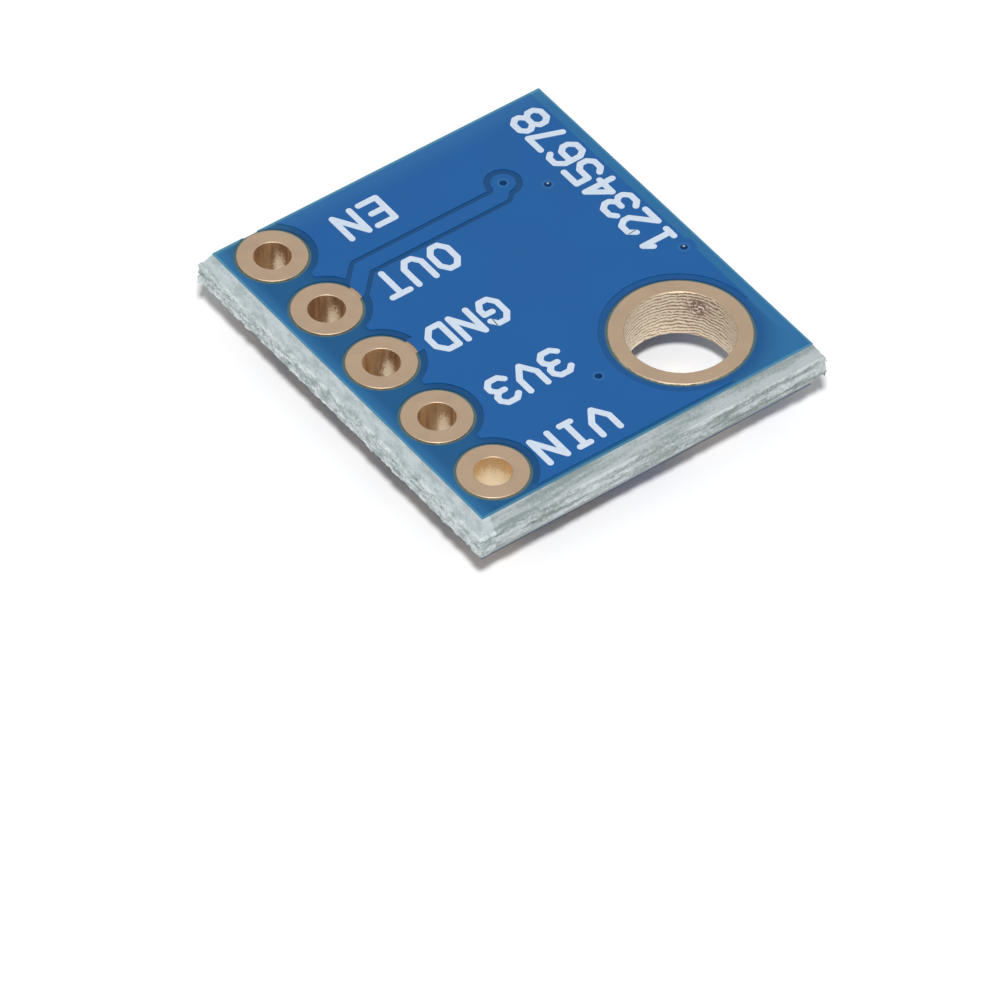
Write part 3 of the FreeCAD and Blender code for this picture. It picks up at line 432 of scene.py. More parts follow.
def stroke_tree(material):
    """Flat strokes with round ends and joints along the lines of a mesh."""
    tree, entry = new_tree(
        "Printed strokes",
        {"Width": "NodeSocketFloat", "Thickness": "NodeSocketFloat"},
    )
    width, thickness = entry.outputs["Width"], entry.outputs["Thickness"]
    radius = add_node(tree, "ShaderNodeMath", {0: width, 1: 0.5}, operation="MULTIPLY").outputs[0]
    ends = add_node(tree, "GeometryNodeInputMeshEdgeVertices")
    run = add_node(
        tree,
        "ShaderNodeVectorMath",
        {0: ends.outputs["Position 2"], 1: ends.outputs["Position 1"]},
        operation="SUBTRACT",
    )
    span = add_node(tree, "ShaderNodeVectorMath", {0: run.outputs["Vector"]}, operation="LENGTH")
    bars = add_node(
        tree,
        "GeometryNodeMeshToPoints",
        {"Mesh": entry.outputs["Geometry"], "Radius": radius},
        mode="EDGES",
    )
    size = add_node(tree, "ShaderNodeCombineXYZ", {"X": 1.0, "Y": width, "Z": thickness})
    bar = add_node(tree, "GeometryNodeMeshCube", {"Size": size.outputs["Vector"]})
    turn = add_node(
        tree,
        "FunctionNodeAlignRotationToVector",
        {"Vector": run.outputs["Vector"]},
        axis="X",
        pivot_axis="Z",
    )
    stretch = add_node(
        tree, "ShaderNodeCombineXYZ", {"X": span.outputs["Value"], "Y": 1.0, "Z": 1.0}
    )
    held_turn = add_node(
        tree, "GeometryNodeCaptureAttribute", {"Geometry": entry.outputs["Geometry"]}, domain="EDGE"
    )
    held_turn.capture_items.new("ROTATION", "Turn")
    held_turn.capture_items.new("VECTOR", "Stretch")
    tree.links.new(turn.outputs["Rotation"], held_turn.inputs["Turn"])
    tree.links.new(stretch.outputs["Vector"], held_turn.inputs["Stretch"])
    tree.links.new(held_turn.outputs["Geometry"], bars.inputs["Mesh"])
    placed_bars = add_node(
        tree,
        "GeometryNodeInstanceOnPoints",
        {
            "Points": bars.outputs["Points"],
            "Instance": bar.outputs["Mesh"],
            "Rotation": held_turn.outputs["Turn"],
            "Scale": held_turn.outputs["Stretch"],
        },
    )
    joints = add_node(
        tree,
        "GeometryNodeMeshToPoints",
        {"Mesh": entry.outputs["Geometry"], "Radius": radius},
        mode="VERTICES",
    )
    disc = add_node(
        tree, "GeometryNodeMeshCylinder", {"Vertices": 20, "Radius": radius, "Depth": thickness}
    )
    placed_discs = add_node(
        tree,
        "GeometryNodeInstanceOnPoints",
        {"Points": joints.outputs["Points"], "Instance": disc.outputs["Mesh"]},
    )
    together = add_node(tree, "GeometryNodeJoinGeometry")
    tree.links.new(placed_bars.outputs["Instances"], together.inputs["Geometry"])
    tree.links.new(placed_discs.outputs["Instances"], together.inputs["Geometry"])
    real = add_node(
        tree, "GeometryNodeRealizeInstances", {"Geometry": together.outputs["Geometry"]}
    )
    union = add_node(
        tree,
        "GeometryNodeMeshBoolean",
        {"Mesh 2": real.outputs["Geometry"], "Self Intersection": True},
        operation="UNION",
        solver="EXACT",
    )
    # The union leaves some corners twice, far closer than a printed line can show.
    clean = add_node(
        tree,
        "GeometryNodeMergeByDistance",
        {"Geometry": union.outputs["Mesh"], "Distance": 0.0005 * MM},
    )
    end_tree(tree, clean.outputs["Geometry"], material)
    return tree


def lettering(words, middle, axes, pitch, settings):
    """The lines of a row of letters about a middle given in millimetres."""
    along, up = axes
    start = Vector((middle[0] * MM, middle[1] * MM, BOARD_TOP + settings.ink_thickness / 2))
    start -= along * (pitch * (len(words) - 1) + settings.letter_width) / 2
    start -= up * settings.letter_height / 2
    lines = []
    for step, letter in enumerate(words):
        corner = start + along * pitch * step
        for line in LETTERS[letter]:
            lines.append([
                corner + along * settings.letter_width * x + up * settings.letter_height * y
                for x, y in line
            ])
    return lines


class BOARD_OT_print(bpy.types.Operator):
    """Prints the pin names and the row of numbers"""

    bl_idname = "board.print"
    bl_label = "Print pin names and numbers"

    def execute(self, context):
        settings = context.scene.board_print
        material = white_ink(settings.ink)
        tree = stroke_tree(material)
        values = {"Width": settings.stroke_width, "Thickness": settings.ink_thickness}
        name_lines = [
            line
            for words, middle in PIN_NAMES
            for line in lettering(words, middle, PIN_NAME_AXES, settings.name_pitch, settings)
        ]
        number_lines = lettering(*NUMBER_ROW, NUMBER_AXES, settings.number_pitch, settings)
        for name, lines in {"pin_names": name_lines, "number_row": number_lines}.items():
            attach(grow(name, line_mesh(name, lines), tree, values), "root")
        return {"FINISHED"}


# Broken edges


def broken_glass(settings, name="glass_epoxy_laminate_broken"):
    """Woven glass in epoxy, snapped along a score: pale and matt, darker between its bundles by
    resin and painted shade.
    """
    material, tree, shader, place = new_material(name)
    # The bundles run along the edge in layers of glass cloth, and are torn short on the pin side.
    axes = add_node(tree, "ShaderNodeSeparateXYZ", {"Vector": place})
    pin_side = band(
        tree, axes.outputs["Y"], LAMINATE_LOW.y + 0.5 * MM, LAMINATE_LOW.y + 0.45 * MM
    )
    layers = {}
    for side, streak in (("pin", settings.streak_length), ("other", settings.long_streak_length)):
        slant = 0.5 if side == "pin" else 0.0
        stretched = add_node(
            tree,
            "ShaderNodeMapping",
            {
                "Vector": place,
                "Scale": (1 / streak, 1 / streak, 1 / settings.layer_pitch),
                "Rotation": (0.0, slant, 0.0),
            },
        )
        layers[side] = add_node(
            tree,
            "ShaderNodeTexNoise",
            {"Vector": stretched.outputs["Vector"], "Scale": 1.0, "Detail": 3.0, "Roughness": 0.55},
        ).outputs["Fac"]
    # Whole layers show on the other sides as long pale and dark bands.
    warp = add_node(
        tree,
        "ShaderNodeMath",
        {0: layers["other"], 1: settings.cloth_pitch * 0.4, 2: axes.outputs["Z"]},
        operation="MULTIPLY_ADD",
    )
    lifted = add_node(tree, "ShaderNodeMath", {0: warp.outputs[0], 1: 0.115 * MM}, operation="ADD")
    turns = add_node(
        tree,
        "ShaderNodeMath",
        {0: lifted.outputs[0], 1: 2 * math.pi / settings.cloth_pitch},
        operation="MULTIPLY",
    )
    wave = add_node(tree, "ShaderNodeMath", {0: turns.outputs[0]}, operation="SINE")
    banded = add_node(
        tree,
        "ShaderNodeMath",
        {0: wave.outputs[0], 1: 0.07, 2: layers["other"]},
        operation="MULTIPLY_ADD",
    )
    streaks = add_node(
        tree, "ShaderNodeMix", {"Factor": pin_side, 2: banded.outputs[0], 3: layers["pin"]}
    )
    pits_and_hollow_shade = add_node(
        tree,
        "ShaderNodeTexNoise",
        {"Vector": place, "Scale": 1 / (0.09 * MM), "Detail": 3.0, "Roughness": 0.65},
    )
    # One sum raises the relief and lightens the colour, so the hollows are painted darker: partly
    # resin, partly shade.
    both = add_node(
        tree,
        "ShaderNodeMath",
        {0: pits_and_hollow_shade.outputs["Fac"], 1: 0.45, 2: streaks.outputs[0]},
        operation="MULTIPLY_ADD",
    )
    share = add_node(
        tree,
        "ShaderNodeMapRange",
        {"Value": both.outputs[0], "From Min": 0.5, "From Max": 0.86},
        interpolation_type="SMOOTHSTEP",
    )
    shade = add_node(
        tree,
        "ShaderNodeMix",
        {"Factor": share.outputs["Result"], 6: settings.pits_and_hollow_shade, 7: settings.glass},
        data_type="RGBA",
    )
    bump = add_node(
        tree, "ShaderNodeBump", {"Height": both.outputs[0], "Strength": 0.5, "Distance": 0.02 * MM}
    )
    set_inputs(tree, shader, {
        "Normal": bump.outputs["Normal"], "Roughness": 0.62, "Specular IOR Level": 0.2
    })
    return material, tree, shader, shade.outputs[2], pin_side


def paint_side_shade(tree, shade, pin_side, pin_value, other_value):
    """Painted shade: takes a colour down by one share on the pin side and by another on the other
    sides.
    """
    value = add_node(
        tree, "ShaderNodeMapRange", {"Value": pin_side, "To Min": other_value, "To Max": pin_value}
    )
    return add_node(
        tree, "ShaderNodeHueSaturation", {"Color": shade, "Value": value.outputs["Result"]}
    ).outputs["Color"]


def edge_ring():
    """A closed ring round the board whose outer side covers the broken web of the laminate."""
    low, high = LAMINATE_LOW.z + SCORE_DEPTH, LAMINATE_HIGH.z - SCORE_DEPTH
    # Size of a facet, how far the ring tucks into the slopes and into the web, and its stand-off
    step, tuck, inner, lift = 0.03 * MM, 0.03 * MM, 0.12 * MM, 0.006 * MM
    rows = max(2, round((high - low) / step))
    # Outward distance, level and share of the roughness, once round the ring's section
    section = [(-tuck, low - tuck, 0.0)]
    for row in range(rows + 1):
        section.append((lift, low + (high - low) * row / rows, 0.25 if row in (0, rows) else 1.0))
    section += [(-tuck, high + tuck, 0.0), (-inner, high, 0.0), (-inner, low, 0.0)]
    corners = [
        Vector((LAMINATE_LOW.x, LAMINATE_LOW.y, 0)), Vector((LAMINATE_HIGH.x, LAMINATE_LOW.y, 0)),
        Vector((LAMINATE_HIGH.x, LAMINATE_HIGH.y, 0)), Vector((LAMINATE_LOW.x, LAMINATE_HIGH.y, 0)),
    ]
    path = []
    for corner, following in zip(corners, corners[1:] + corners[:1]):
        side = following - corner
        outward = Vector((side.y, -side.x, 0)).normalized()
        before = corner - corners[corners.index(corner) - 1]
        mitre = Vector((before.y, -before.x, 0)).normalized() + outward
        count = round(side.length / step)
        path.append((corner, mitre))
        path += [(corner + side * place / count, outward) for place in range(1, count)]
    points, shares, outwards, faces = [], [], [], []
    for place, outward in path:
        for distance, level, share in section:
            points.append((place + outward * distance) + Vector((0, 0, level)))
            shares.append(share)
            outwards.append(outward)
    around = len(section)
    for column in range(len(path)):
        here, there = column * around, (column + 1) % len(path) * around
        for row in range(around):
            above = (row + 1) % around
            faces.append((here + row, there + row, there + above, here + above))
    mesh = bpy.data.meshes.new("broken_edge")
    mesh.from_pydata(points, [], faces)
    share_layer = mesh.attributes.new("roughness_share", "FLOAT", "POINT")
    share_layer.data.foreach_set("value", shares)
    outward_layer = mesh.attributes.new("outward", "FLOAT_VECTOR", "POINT")
    outward_layer.data.foreach_set(
        "vector", [channel for outward in outwards for channel in outward]
    )
    mesh.update()
    return mesh


def edge_tree(material):
    """Pushes the ring out by layered noise and strews fibre ends along it."""
    tree, entry = new_tree(
        "Broken edge",
        {
            "Depth": "NodeSocketFloat",
            "Streak length": "NodeSocketFloat",
            "Layer pitch": "NodeSocketFloat",
            "Sliver length": "NodeSocketFloat",
            "Slivers": "NodeSocketInt",
        },
    )
    place = add_node(tree, "GeometryNodeInputPosition").outputs["Position"]
    share = add_node(
        tree, "GeometryNodeInputNamedAttribute", {"Name": "roughness_share"}, data_type="FLOAT"
    )
    outward = add_node(
        tree, "GeometryNodeInputNamedAttribute", {"Name": "outward"}, data_type="FLOAT_VECTOR"
    )
    periods = add_node(
        tree,
        "ShaderNodeCombineXYZ",
        {
            "X": entry.outputs["Streak length"],
            "Y": entry.outputs["Streak length"],
            "Z": entry.outputs["Layer pitch"],
        },
    )
    stretched = add_node(
        tree, "ShaderNodeVectorMath", {0: place, 1: periods.outputs["Vector"]}, operation="DIVIDE"
    )
    streaks = add_node(
        tree,
        "ShaderNodeTexNoise",
        {"Vector": stretched.outputs["Vector"], "Scale": 1.0, "Detail": 4.0, "Roughness": 0.6},
    )
    chips = add_node(
        tree, "ShaderNodeTexNoise", {"Vector": place, "Scale": 1 / (0.16 * MM), "Detail": 3.0}
    )
    mixed = add_node(
        tree,
        "ShaderNodeMath",
        {0: streaks.outputs["Fac"], 1: chips.outputs["Fac"]},
        operation="MULTIPLY",
    )
    height = add_node(
        tree,
        "ShaderNodeMapRange",
        {
            "Value": mixed.outputs[0],
            "From Min": 0.12,
            "From Max": 0.38,
            "To Max": entry.outputs["Depth"],
        },
    )
    push = add_node(
        tree,
        "ShaderNodeMath",
        {0: height.outputs["Result"], 1: share.outputs["Attribute"]},
        operation="MULTIPLY",
    )
    offset = add_node(
        tree,
        "ShaderNodeVectorMath",
        {0: outward.outputs["Attribute"], "Scale": push.outputs[0]},
        operation="SCALE",
    )
    rough = add_node(
        tree,
        "GeometryNodeSetPosition",
        {"Geometry": entry.outputs["Geometry"], "Offset": offset.outputs["Vector"]},
    )
    # Fibre ends lie mostly along the edge, so each follows the direction across its outward one.
    torn = add_node(
        tree,
        "FunctionNodeCompare",
        {0: share.outputs["Attribute"], 1: 0.9},
        operation="GREATER_THAN",
    )
    scattered = add_node(
        tree,
        "GeometryNodeDistributePointsOnFaces",
        {
            "Mesh": rough.outputs["Geometry"],
            "Selection": torn.outputs["Result"],
            "Density": 50 / MM**2,
            "Seed": 7,
        },
        distribute_method="RANDOM",
    )
    index = add_node(tree, "GeometryNodeInputIndex")
    surplus = add_node(
        tree,
        "FunctionNodeCompare",
        {2: index.outputs["Index"], 3: entry.outputs["Slivers"]},
        data_type="INT",
        operation="GREATER_EQUAL",
    )
    shuffled = add_node(
        tree,
        "GeometryNodeSortElements",
        {
            "Geometry": scattered.outputs["Points"],
            "Sort Weight": add_node(
                tree, "FunctionNodeRandomValue", {"Seed": 3}, data_type="FLOAT"
            ).outputs[1],
        },
    )
    kept = add_node(
        tree,
        "GeometryNodeDeleteGeometry",
        {"Geometry": shuffled.outputs["Geometry"], "Selection": surplus.outputs["Result"]},
    )
    along = add_node(
        tree,
        "ShaderNodeVectorMath",
        {0: outward.outputs["Attribute"], 1: (0, 0, 1)},
        operation="CROSS_PRODUCT",
    )
    lie = add_node(
        tree,
        "FunctionNodeAlignRotationToVector",
        {"Vector": along.outputs["Vector"]},
        axis="X",
        pivot_axis="Z",
    )
    waver = add_node(
        tree,
        "FunctionNodeRandomValue",
        {0: (-0.3, -0.15, -0.1), 1: (0.3, 0.15, 0.1), "Seed": 11},
        data_type="FLOAT_VECTOR",
    )
    rotation = add_node(
        tree,
        "FunctionNodeRotateRotation",
        {"Rotation": lie.outputs["Rotation"], "Rotate By": waver.outputs[0]},
        rotation_space="LOCAL",
    )
    sliver = add_node(
        tree, "GeometryNodeMeshCylinder", {"Vertices": 5, "Radius": 0.5, "Depth": 1.0}
    )
    laid = add_node(
        tree,
        "GeometryNodeTransform",
        {"Geometry": sliver.outputs["Mesh"], "Rotation": (0.0, math.pi / 2, 0.0)},
    )
    thickness = add_node(
        tree,
        "FunctionNodeRandomValue",
        {2: 0.018 * MM, 3: 0.045 * MM, "Seed": 5},
        data_type="FLOAT",
    )
    stretch = add_node(
        tree, "FunctionNodeRandomValue", {2: 0.3, 3: 1.3, "Seed": 9}, data_type="FLOAT"
    )
    reach = add_node(
        tree,
        "ShaderNodeMath",
        {0: stretch.outputs[1], 1: entry.outputs["Sliver length"]},
        operation="MULTIPLY",
    )
    size = add_node(
        tree,
        "ShaderNodeCombineXYZ",
        {"X": reach.outputs[0], "Y": thickness.outputs[1], "Z": thickness.outputs[1]},
    )
    slivers = add_node(
        tree,
        "GeometryNodeInstanceOnPoints",
        {
            "Points": kept.outputs["Geometry"],
            "Instance": laid.outputs["Geometry"],
            "Rotation": rotation.outputs["Rotation"],
            "Scale": size.outputs["Vector"],
        },
    )
    together = add_node(tree, "GeometryNodeJoinGeometry")
    tree.links.new(rough.outputs["Geometry"], together.inputs["Geometry"])
    tree.links.new(slivers.outputs["Instances"], together.inputs["Geometry"])
    end_tree(tree, together.outputs["Geometry"], material)
    return tree


class BOARD_OT_edges(bpy.types.Operator):
    """Roughens the board's edges where they were broken"""

    bl_idname = "board.edges"
    bl_label = "Break the edges"

    def execute(self, context):
        settings = context.scene.board_edges
        material, tree, shader, shade, pin_side = broken_glass(settings)
        # Painted shade: the broken web is taken down a little on the pin side and more on the other
        # sides.
        tree.links.new(paint_side_shade(tree, shade, pin_side, 0.94, 0.8), shader.inputs["Base Color"])
        values = {
            "Depth": settings.roughness_depth,
            "Streak length": settings.streak_length,
            "Layer pitch": settings.layer_pitch,
            "Sliver length": settings.sliver_length,
            "Slivers": settings.slivers * 4,
        }
        piece = grow("broken_edge", edge_ring(), edge_tree(material), values)
        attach(piece, "root")
        dress(laminate_finish(settings), "laminate")
        return {"FINISHED"}


def laminate_finish(settings):
    """The same glass epoxy, scored, with the darker resin face that shows round the pads."""
    material, tree, shader, shade, pin_side = broken_glass(settings, "glass_epoxy_laminate_scored")
    place = add_node(tree, "ShaderNodeTexCoord").outputs["Object"]
    level = add_node(tree, "ShaderNodeSeparateXYZ", {"Vector": place}).outputs["Z"]
    face = add_node(
        tree,
        "ShaderNodeMath",
        {0: from_middle(tree, level), 1: LAMINATE_HIGH.z - BOARD_MIDDLE - 0.002 * MM},
        operation="GREATER_THAN",
    )
    # The scored slopes are cut smooth, so their streaks are faint, above all on the pin side.
    faint = add_node(tree, "ShaderNodeMapRange", {"Value": pin_side, "To Min": 0.25, "To Max": 0.5})
    smooth = add_node(
        tree,
        "ShaderNodeMix",
        {"Factor": faint.outputs["Result"], 6: shade, 7: settings.slope},
        data_type="RGBA",
    )
    # Painted shade: the slopes are taken down further than the broken web, and most on the other
    # sides.
    resin = add_node(
        tree,
        "ShaderNodeMix",
        {
            "Factor": face.outputs[0],
            6: paint_side_shade(tree, smooth.outputs[2], pin_side, 0.88, 0.68),
            7: settings.face,
        },
        data_type="RGBA",
    )
    tree.links.new(resin.outputs[2], shader.inputs["Base Color"])
    return material


# Board finishes


def solder_mask(settings):
    """Liquid solder mask, cured: a thin semi-gloss coat, with painted light over bare laminate and
    painted shade in gaps.
    """
    material, tree, shader, place = new_material("blue_solder_mask_semi_gloss")
    axes = add_node(tree, "ShaderNodeSeparateXYZ", {"Vector": place})
    top, step = BOARD_TOP - BOARD_MIDDLE, 0.02 * MM
    raised = add_node(
        tree,
        "ShaderNodeMapRange",
        {
            "Value": from_middle(tree, axes.outputs["Z"]),
            "From Min": top - step,
            "From Max": top - step * 0.2,
        },
    )
    # Bare laminate: the strip along the pins, the far and right margins and the corner beyond the
    # mounting hole
    away = add_node(
        tree, "ShaderNodeVectorMath", {0: place, 1: RING_CENTRE}, operation="DISTANCE"
    ).outputs["Value"]
    beyond = band(tree, away, RING_RADIUS + 0.2 * MM, RING_RADIUS + 0.6 * MM)
    right = band(tree, axes.outputs["X"], RING_CENTRE.x, RING_CENTRE.x + 0.1 * MM)
    far = band(tree, axes.outputs["Y"], RING_CENTRE.y, RING_CENTRE.y + 0.1 * MM)
    quarter = add_node(tree, "ShaderNodeMath", {0: right, 1: far}, operation="MULTIPLY").outputs[0]
    open_corner = add_node(
        tree, "ShaderNodeMath", {0: quarter, 1: beyond}, operation="MULTIPLY"
    ).outputs[0]
    margins = [
        band(tree, axes.outputs[axis], start, end)
        for axis, start, end in (
            ("Y", PIN_CENTRES[0].y + 0.8 * MM, PIN_CENTRES[0].y + 0.1 * MM),
            ("Y", MASK_HIGH.y - 0.42 * MM, MASK_HIGH.y - 0.34 * MM),
            ("X", MASK_HIGH.x - 0.23 * MM, MASK_HIGH.x - 0.17 * MM),
        )
    ]
    bare = highest(tree, [open_corner, *margins])
    # Painted light through the board: palest over bare laminate by the pin edge, by the far side
    # and at that corner.
    near = band(tree, axes.outputs["Y"], MASK_LOW.y + 0.5 * MM, MASK_LOW.y)
    corner = band(tree, away, RING_RADIUS, RING_RADIUS + 1.2 * MM)
    pale_corner = add_node(
        tree, "ShaderNodeMath", {0: quarter, 1: corner}, operation="MULTIPLY"
    ).outputs[0]
    far_side = band(tree, axes.outputs["Y"], MASK_HIGH.y - 0.5 * MM, MASK_HIGH.y - 0.3 * MM)
    border_lit_through = highest(tree, (near, pale_corner, far_side))
    open_laminate = add_node(
        tree,
        "ShaderNodeMix",
        {"Factor": border_lit_through, 6: settings.over_laminate, 7: settings.border_lit_through},
        data_type="RGBA",
    )
    # The painted shade in the narrow gap round the mounting hole's ring is less deep than in the
    # others.
    near_ring = band(tree, away, RING_RADIUS + 0.6 * MM, RING_RADIUS + 0.5 * MM)
    less_shade_near_ring = add_node(tree, "ShaderNodeMath", {0: near_ring, 1: 0.45}, operation="MULTIPLY")
    shaded_gap = add_node(
        tree,
        "ShaderNodeMix",
        {"Factor": less_shade_near_ring.outputs[0], 6: settings.over_gap_shaded, 7: settings.over_copper},
        data_type="RGBA",
    )
    # Painted light and shade: the wide bare areas take the lighter colour, the narrow gaps the
    # darker one
    low = add_node(
        tree,
        "ShaderNodeMix",
        {"Factor": bare, 6: shaded_gap.outputs[2], 7: open_laminate.outputs[2]},
        data_type="RGBA",
    )
    shade = add_node(
        tree,
        "ShaderNodeMix",
        {"Factor": raised.outputs["Result"], 6: low.outputs[2], 7: settings.over_copper},
        data_type="RGBA",
    )
    cloud = add_node(
        tree, "ShaderNodeTexNoise", {"Vector": place, "Scale": 1 / (2.2 * MM), "Detail": 2.0}
    )
    value = add_node(
        tree, "ShaderNodeMapRange", {"Value": cloud.outputs["Fac"], "To Min": 0.94, "To Max": 1.06}
    )
    clouded = add_node(
        tree,
        "ShaderNodeHueSaturation",
        {"Color": shade.outputs[2], "Value": value.outputs["Result"]},
    )
    width = settings.rim_width
    rims = []
    for axis, limit in (("X", MASK_HIGH.x), ("Y", MASK_HIGH.y)):
        offset = add_node(tree, "ShaderNodeMath", {0: axes.outputs[axis]}, operation="ABSOLUTE")
        rims.append(band(tree, offset.outputs[0], limit - 1.5 * width, limit - 0.5 * width))
    # The mask also thins gently toward its left edge, where its rim is widest.
    left = axes.outputs["X"]
    rims.append(band(tree, left, MASK_LOW.x + 2.5 * width, MASK_LOW.x + width))
    rim = highest(tree, rims)
    slope = band(tree, left, MASK_LOW.x + 0.9 * MM, MASK_LOW.x)
    thinned = add_node(tree, "ShaderNodeMath", {0: slope, 1: 0.13}, operation="MULTIPLY").outputs[0]
    thin = add_node(tree, "ShaderNodeMath", {0: rim, 1: 0.45, 2: thinned}, operation="MULTIPLY_ADD")
    # The rim is pale on the solder side; on the component side, which faces the floor, it is
    # painted dark as shade.
    upper = add_node(
        tree, "ShaderNodeMath", {0: axes.outputs["Z"], 1: BOARD_MIDDLE}, operation="GREATER_THAN"
    )
    rim_with_underside_shade = add_node(
        tree,
        "ShaderNodeMix",
        {"Factor": upper.outputs[0], 6: (0.001, 0.004, 0.01, 1.0), 7: settings.rim},
        data_type="RGBA",
    )
    edged = add_node(
        tree,
        "ShaderNodeMix",
        {"Factor": thin.outputs[0], 6: clouded.outputs["Color"], 7: rim_with_underside_shade.outputs[2]},
        data_type="RGBA",
    )
    # The mask thins to a faint pale ring round the mouth of each via.
    base = edged.outputs[2]
    for centre in VIA_CENTRES.values():
        from_via = add_node(
            tree, "ShaderNodeVectorMath", {0: place, 1: centre}, operation="DISTANCE"
        ).outputs["Value"]
        inside = band(tree, from_via, VIA_RADIUS + 0.085 * MM, VIA_RADIUS + 0.05 * MM)
        outside = band(tree, from_via, VIA_RADIUS + 0.01 * MM, VIA_RADIUS + 0.035 * MM)
        ring = add_node(tree, "ShaderNodeMath", {0: inside, 1: outside}, operation="MULTIPLY")
        faint = add_node(
            tree, "ShaderNodeMath", {0: ring.outputs[0], 1: 0.16}, operation="MULTIPLY"
        )
        base = add_node(
            tree,
            "ShaderNodeMix",
            {"Factor": faint.outputs[0], 6: base, 7: settings.rim},
            data_type="RGBA",
        ).outputs[2]
    peel = add_node(
        tree, "ShaderNodeTexNoise", {"Vector": place, "Scale": 1 / (0.11 * MM), "Detail": 2.0}
    )
    bump = add_node(
        tree,
        "ShaderNodeBump",
        {"Height": peel.outputs["Fac"], "Strength": 0.25, "Distance": 0.003 * MM},
    )
    set_inputs(tree, shader, {
        "Base Color": base,
        "Normal": bump.outputs["Normal"],
        "Roughness": settings.roughness,
        "IOR": 1.5,
        "Specular IOR Level": 0.2,
    })
    return material


def immersion_gold(settings, ridged):
    """Thin gold over nickel, as plated: tan on the pads, streaked or wavy on the drilled walls."""
    name = "immersion_gold_drilled_wall" if ridged else "immersion_gold_satin"
    material, tree, shader, place = new_material(name)
    normal = add_node(tree, "ShaderNodeSeparateXYZ", {"Vector": place.node.outputs["Normal"]})
    upright = add_node(tree, "ShaderNodeMath", {0: normal.outputs["Z"]}, operation="ABSOLUTE")
    wall = add_node(
        tree, "ShaderNodeMapRange", {"Value": upright.outputs[0], "From Min": 0.5, "From Max": 0.1}
    ).outputs["Result"]
    grain = add_node(
        tree, "ShaderNodeTexNoise", {"Vector": place, "Scale": 1 / (0.05 * MM), "Detail": 2.0}
    ).outputs["Fac"]
    stain = add_node(
        tree, "ShaderNodeTexNoise", {"Vector": place, "Scale": 1 / (0.5 * MM), "Detail": 3.0}
    )
    dull = [channel * 0.82 for channel in settings.gold[:3]] + [1.0]
    pad = add_node(
        tree,
        "ShaderNodeMix",
        {"Factor": stain.outputs["Fac"], 6: settings.gold, 7: dull},
        data_type="RGBA",
    )
    dress_wall = drilled_wall if ridged else pin_wall
    height, wall_colour, film_and_glare = dress_wall(tree, place, grain, settings)
    base = add_node(
        tree, "ShaderNodeMix", {"Factor": wall, 6: pad.outputs[2], 7: wall_colour}, data_type="RGBA"
    )
    relief = add_node(
        tree, "ShaderNodeMath", {0: height, 1: wall, 2: grain}, operation="MULTIPLY_ADD"
    )
    bump = add_node(
        tree,
        "ShaderNodeBump",
        {"Height": relief.outputs[0], "Strength": 0.5 if ridged else 0.35, "Distance": 0.006 * MM},
    )
    # A rough wall, or one with a pale patch of painted reflection, scatters part of the light, as
    # no bare metal does.
    dulled = add_node(tree, "ShaderNodeMath", {0: film_and_glare, 1: wall}, operation="MULTIPLY")
    bare = add_node(tree, "ShaderNodeMath", {0: 1.0, 1: dulled.outputs[0]}, operation="SUBTRACT")
    # The flats are matt, as etched copper leaves them, and the rounded rims and walls satin.
    gloss = add_node(
        tree,
        "ShaderNodeMapRange",
        {"Value": upright.outputs[0], "From Min": 0.9, "To Min": 0.5, "To Max": 0.72},
    )
    set_inputs(tree, shader, {
        "Base Color": base.outputs[2],
        "Normal": bump.outputs["Normal"],
        "Metallic": bare.outputs[0],
        "Roughness": gloss.outputs["Result"],
    })
    return material


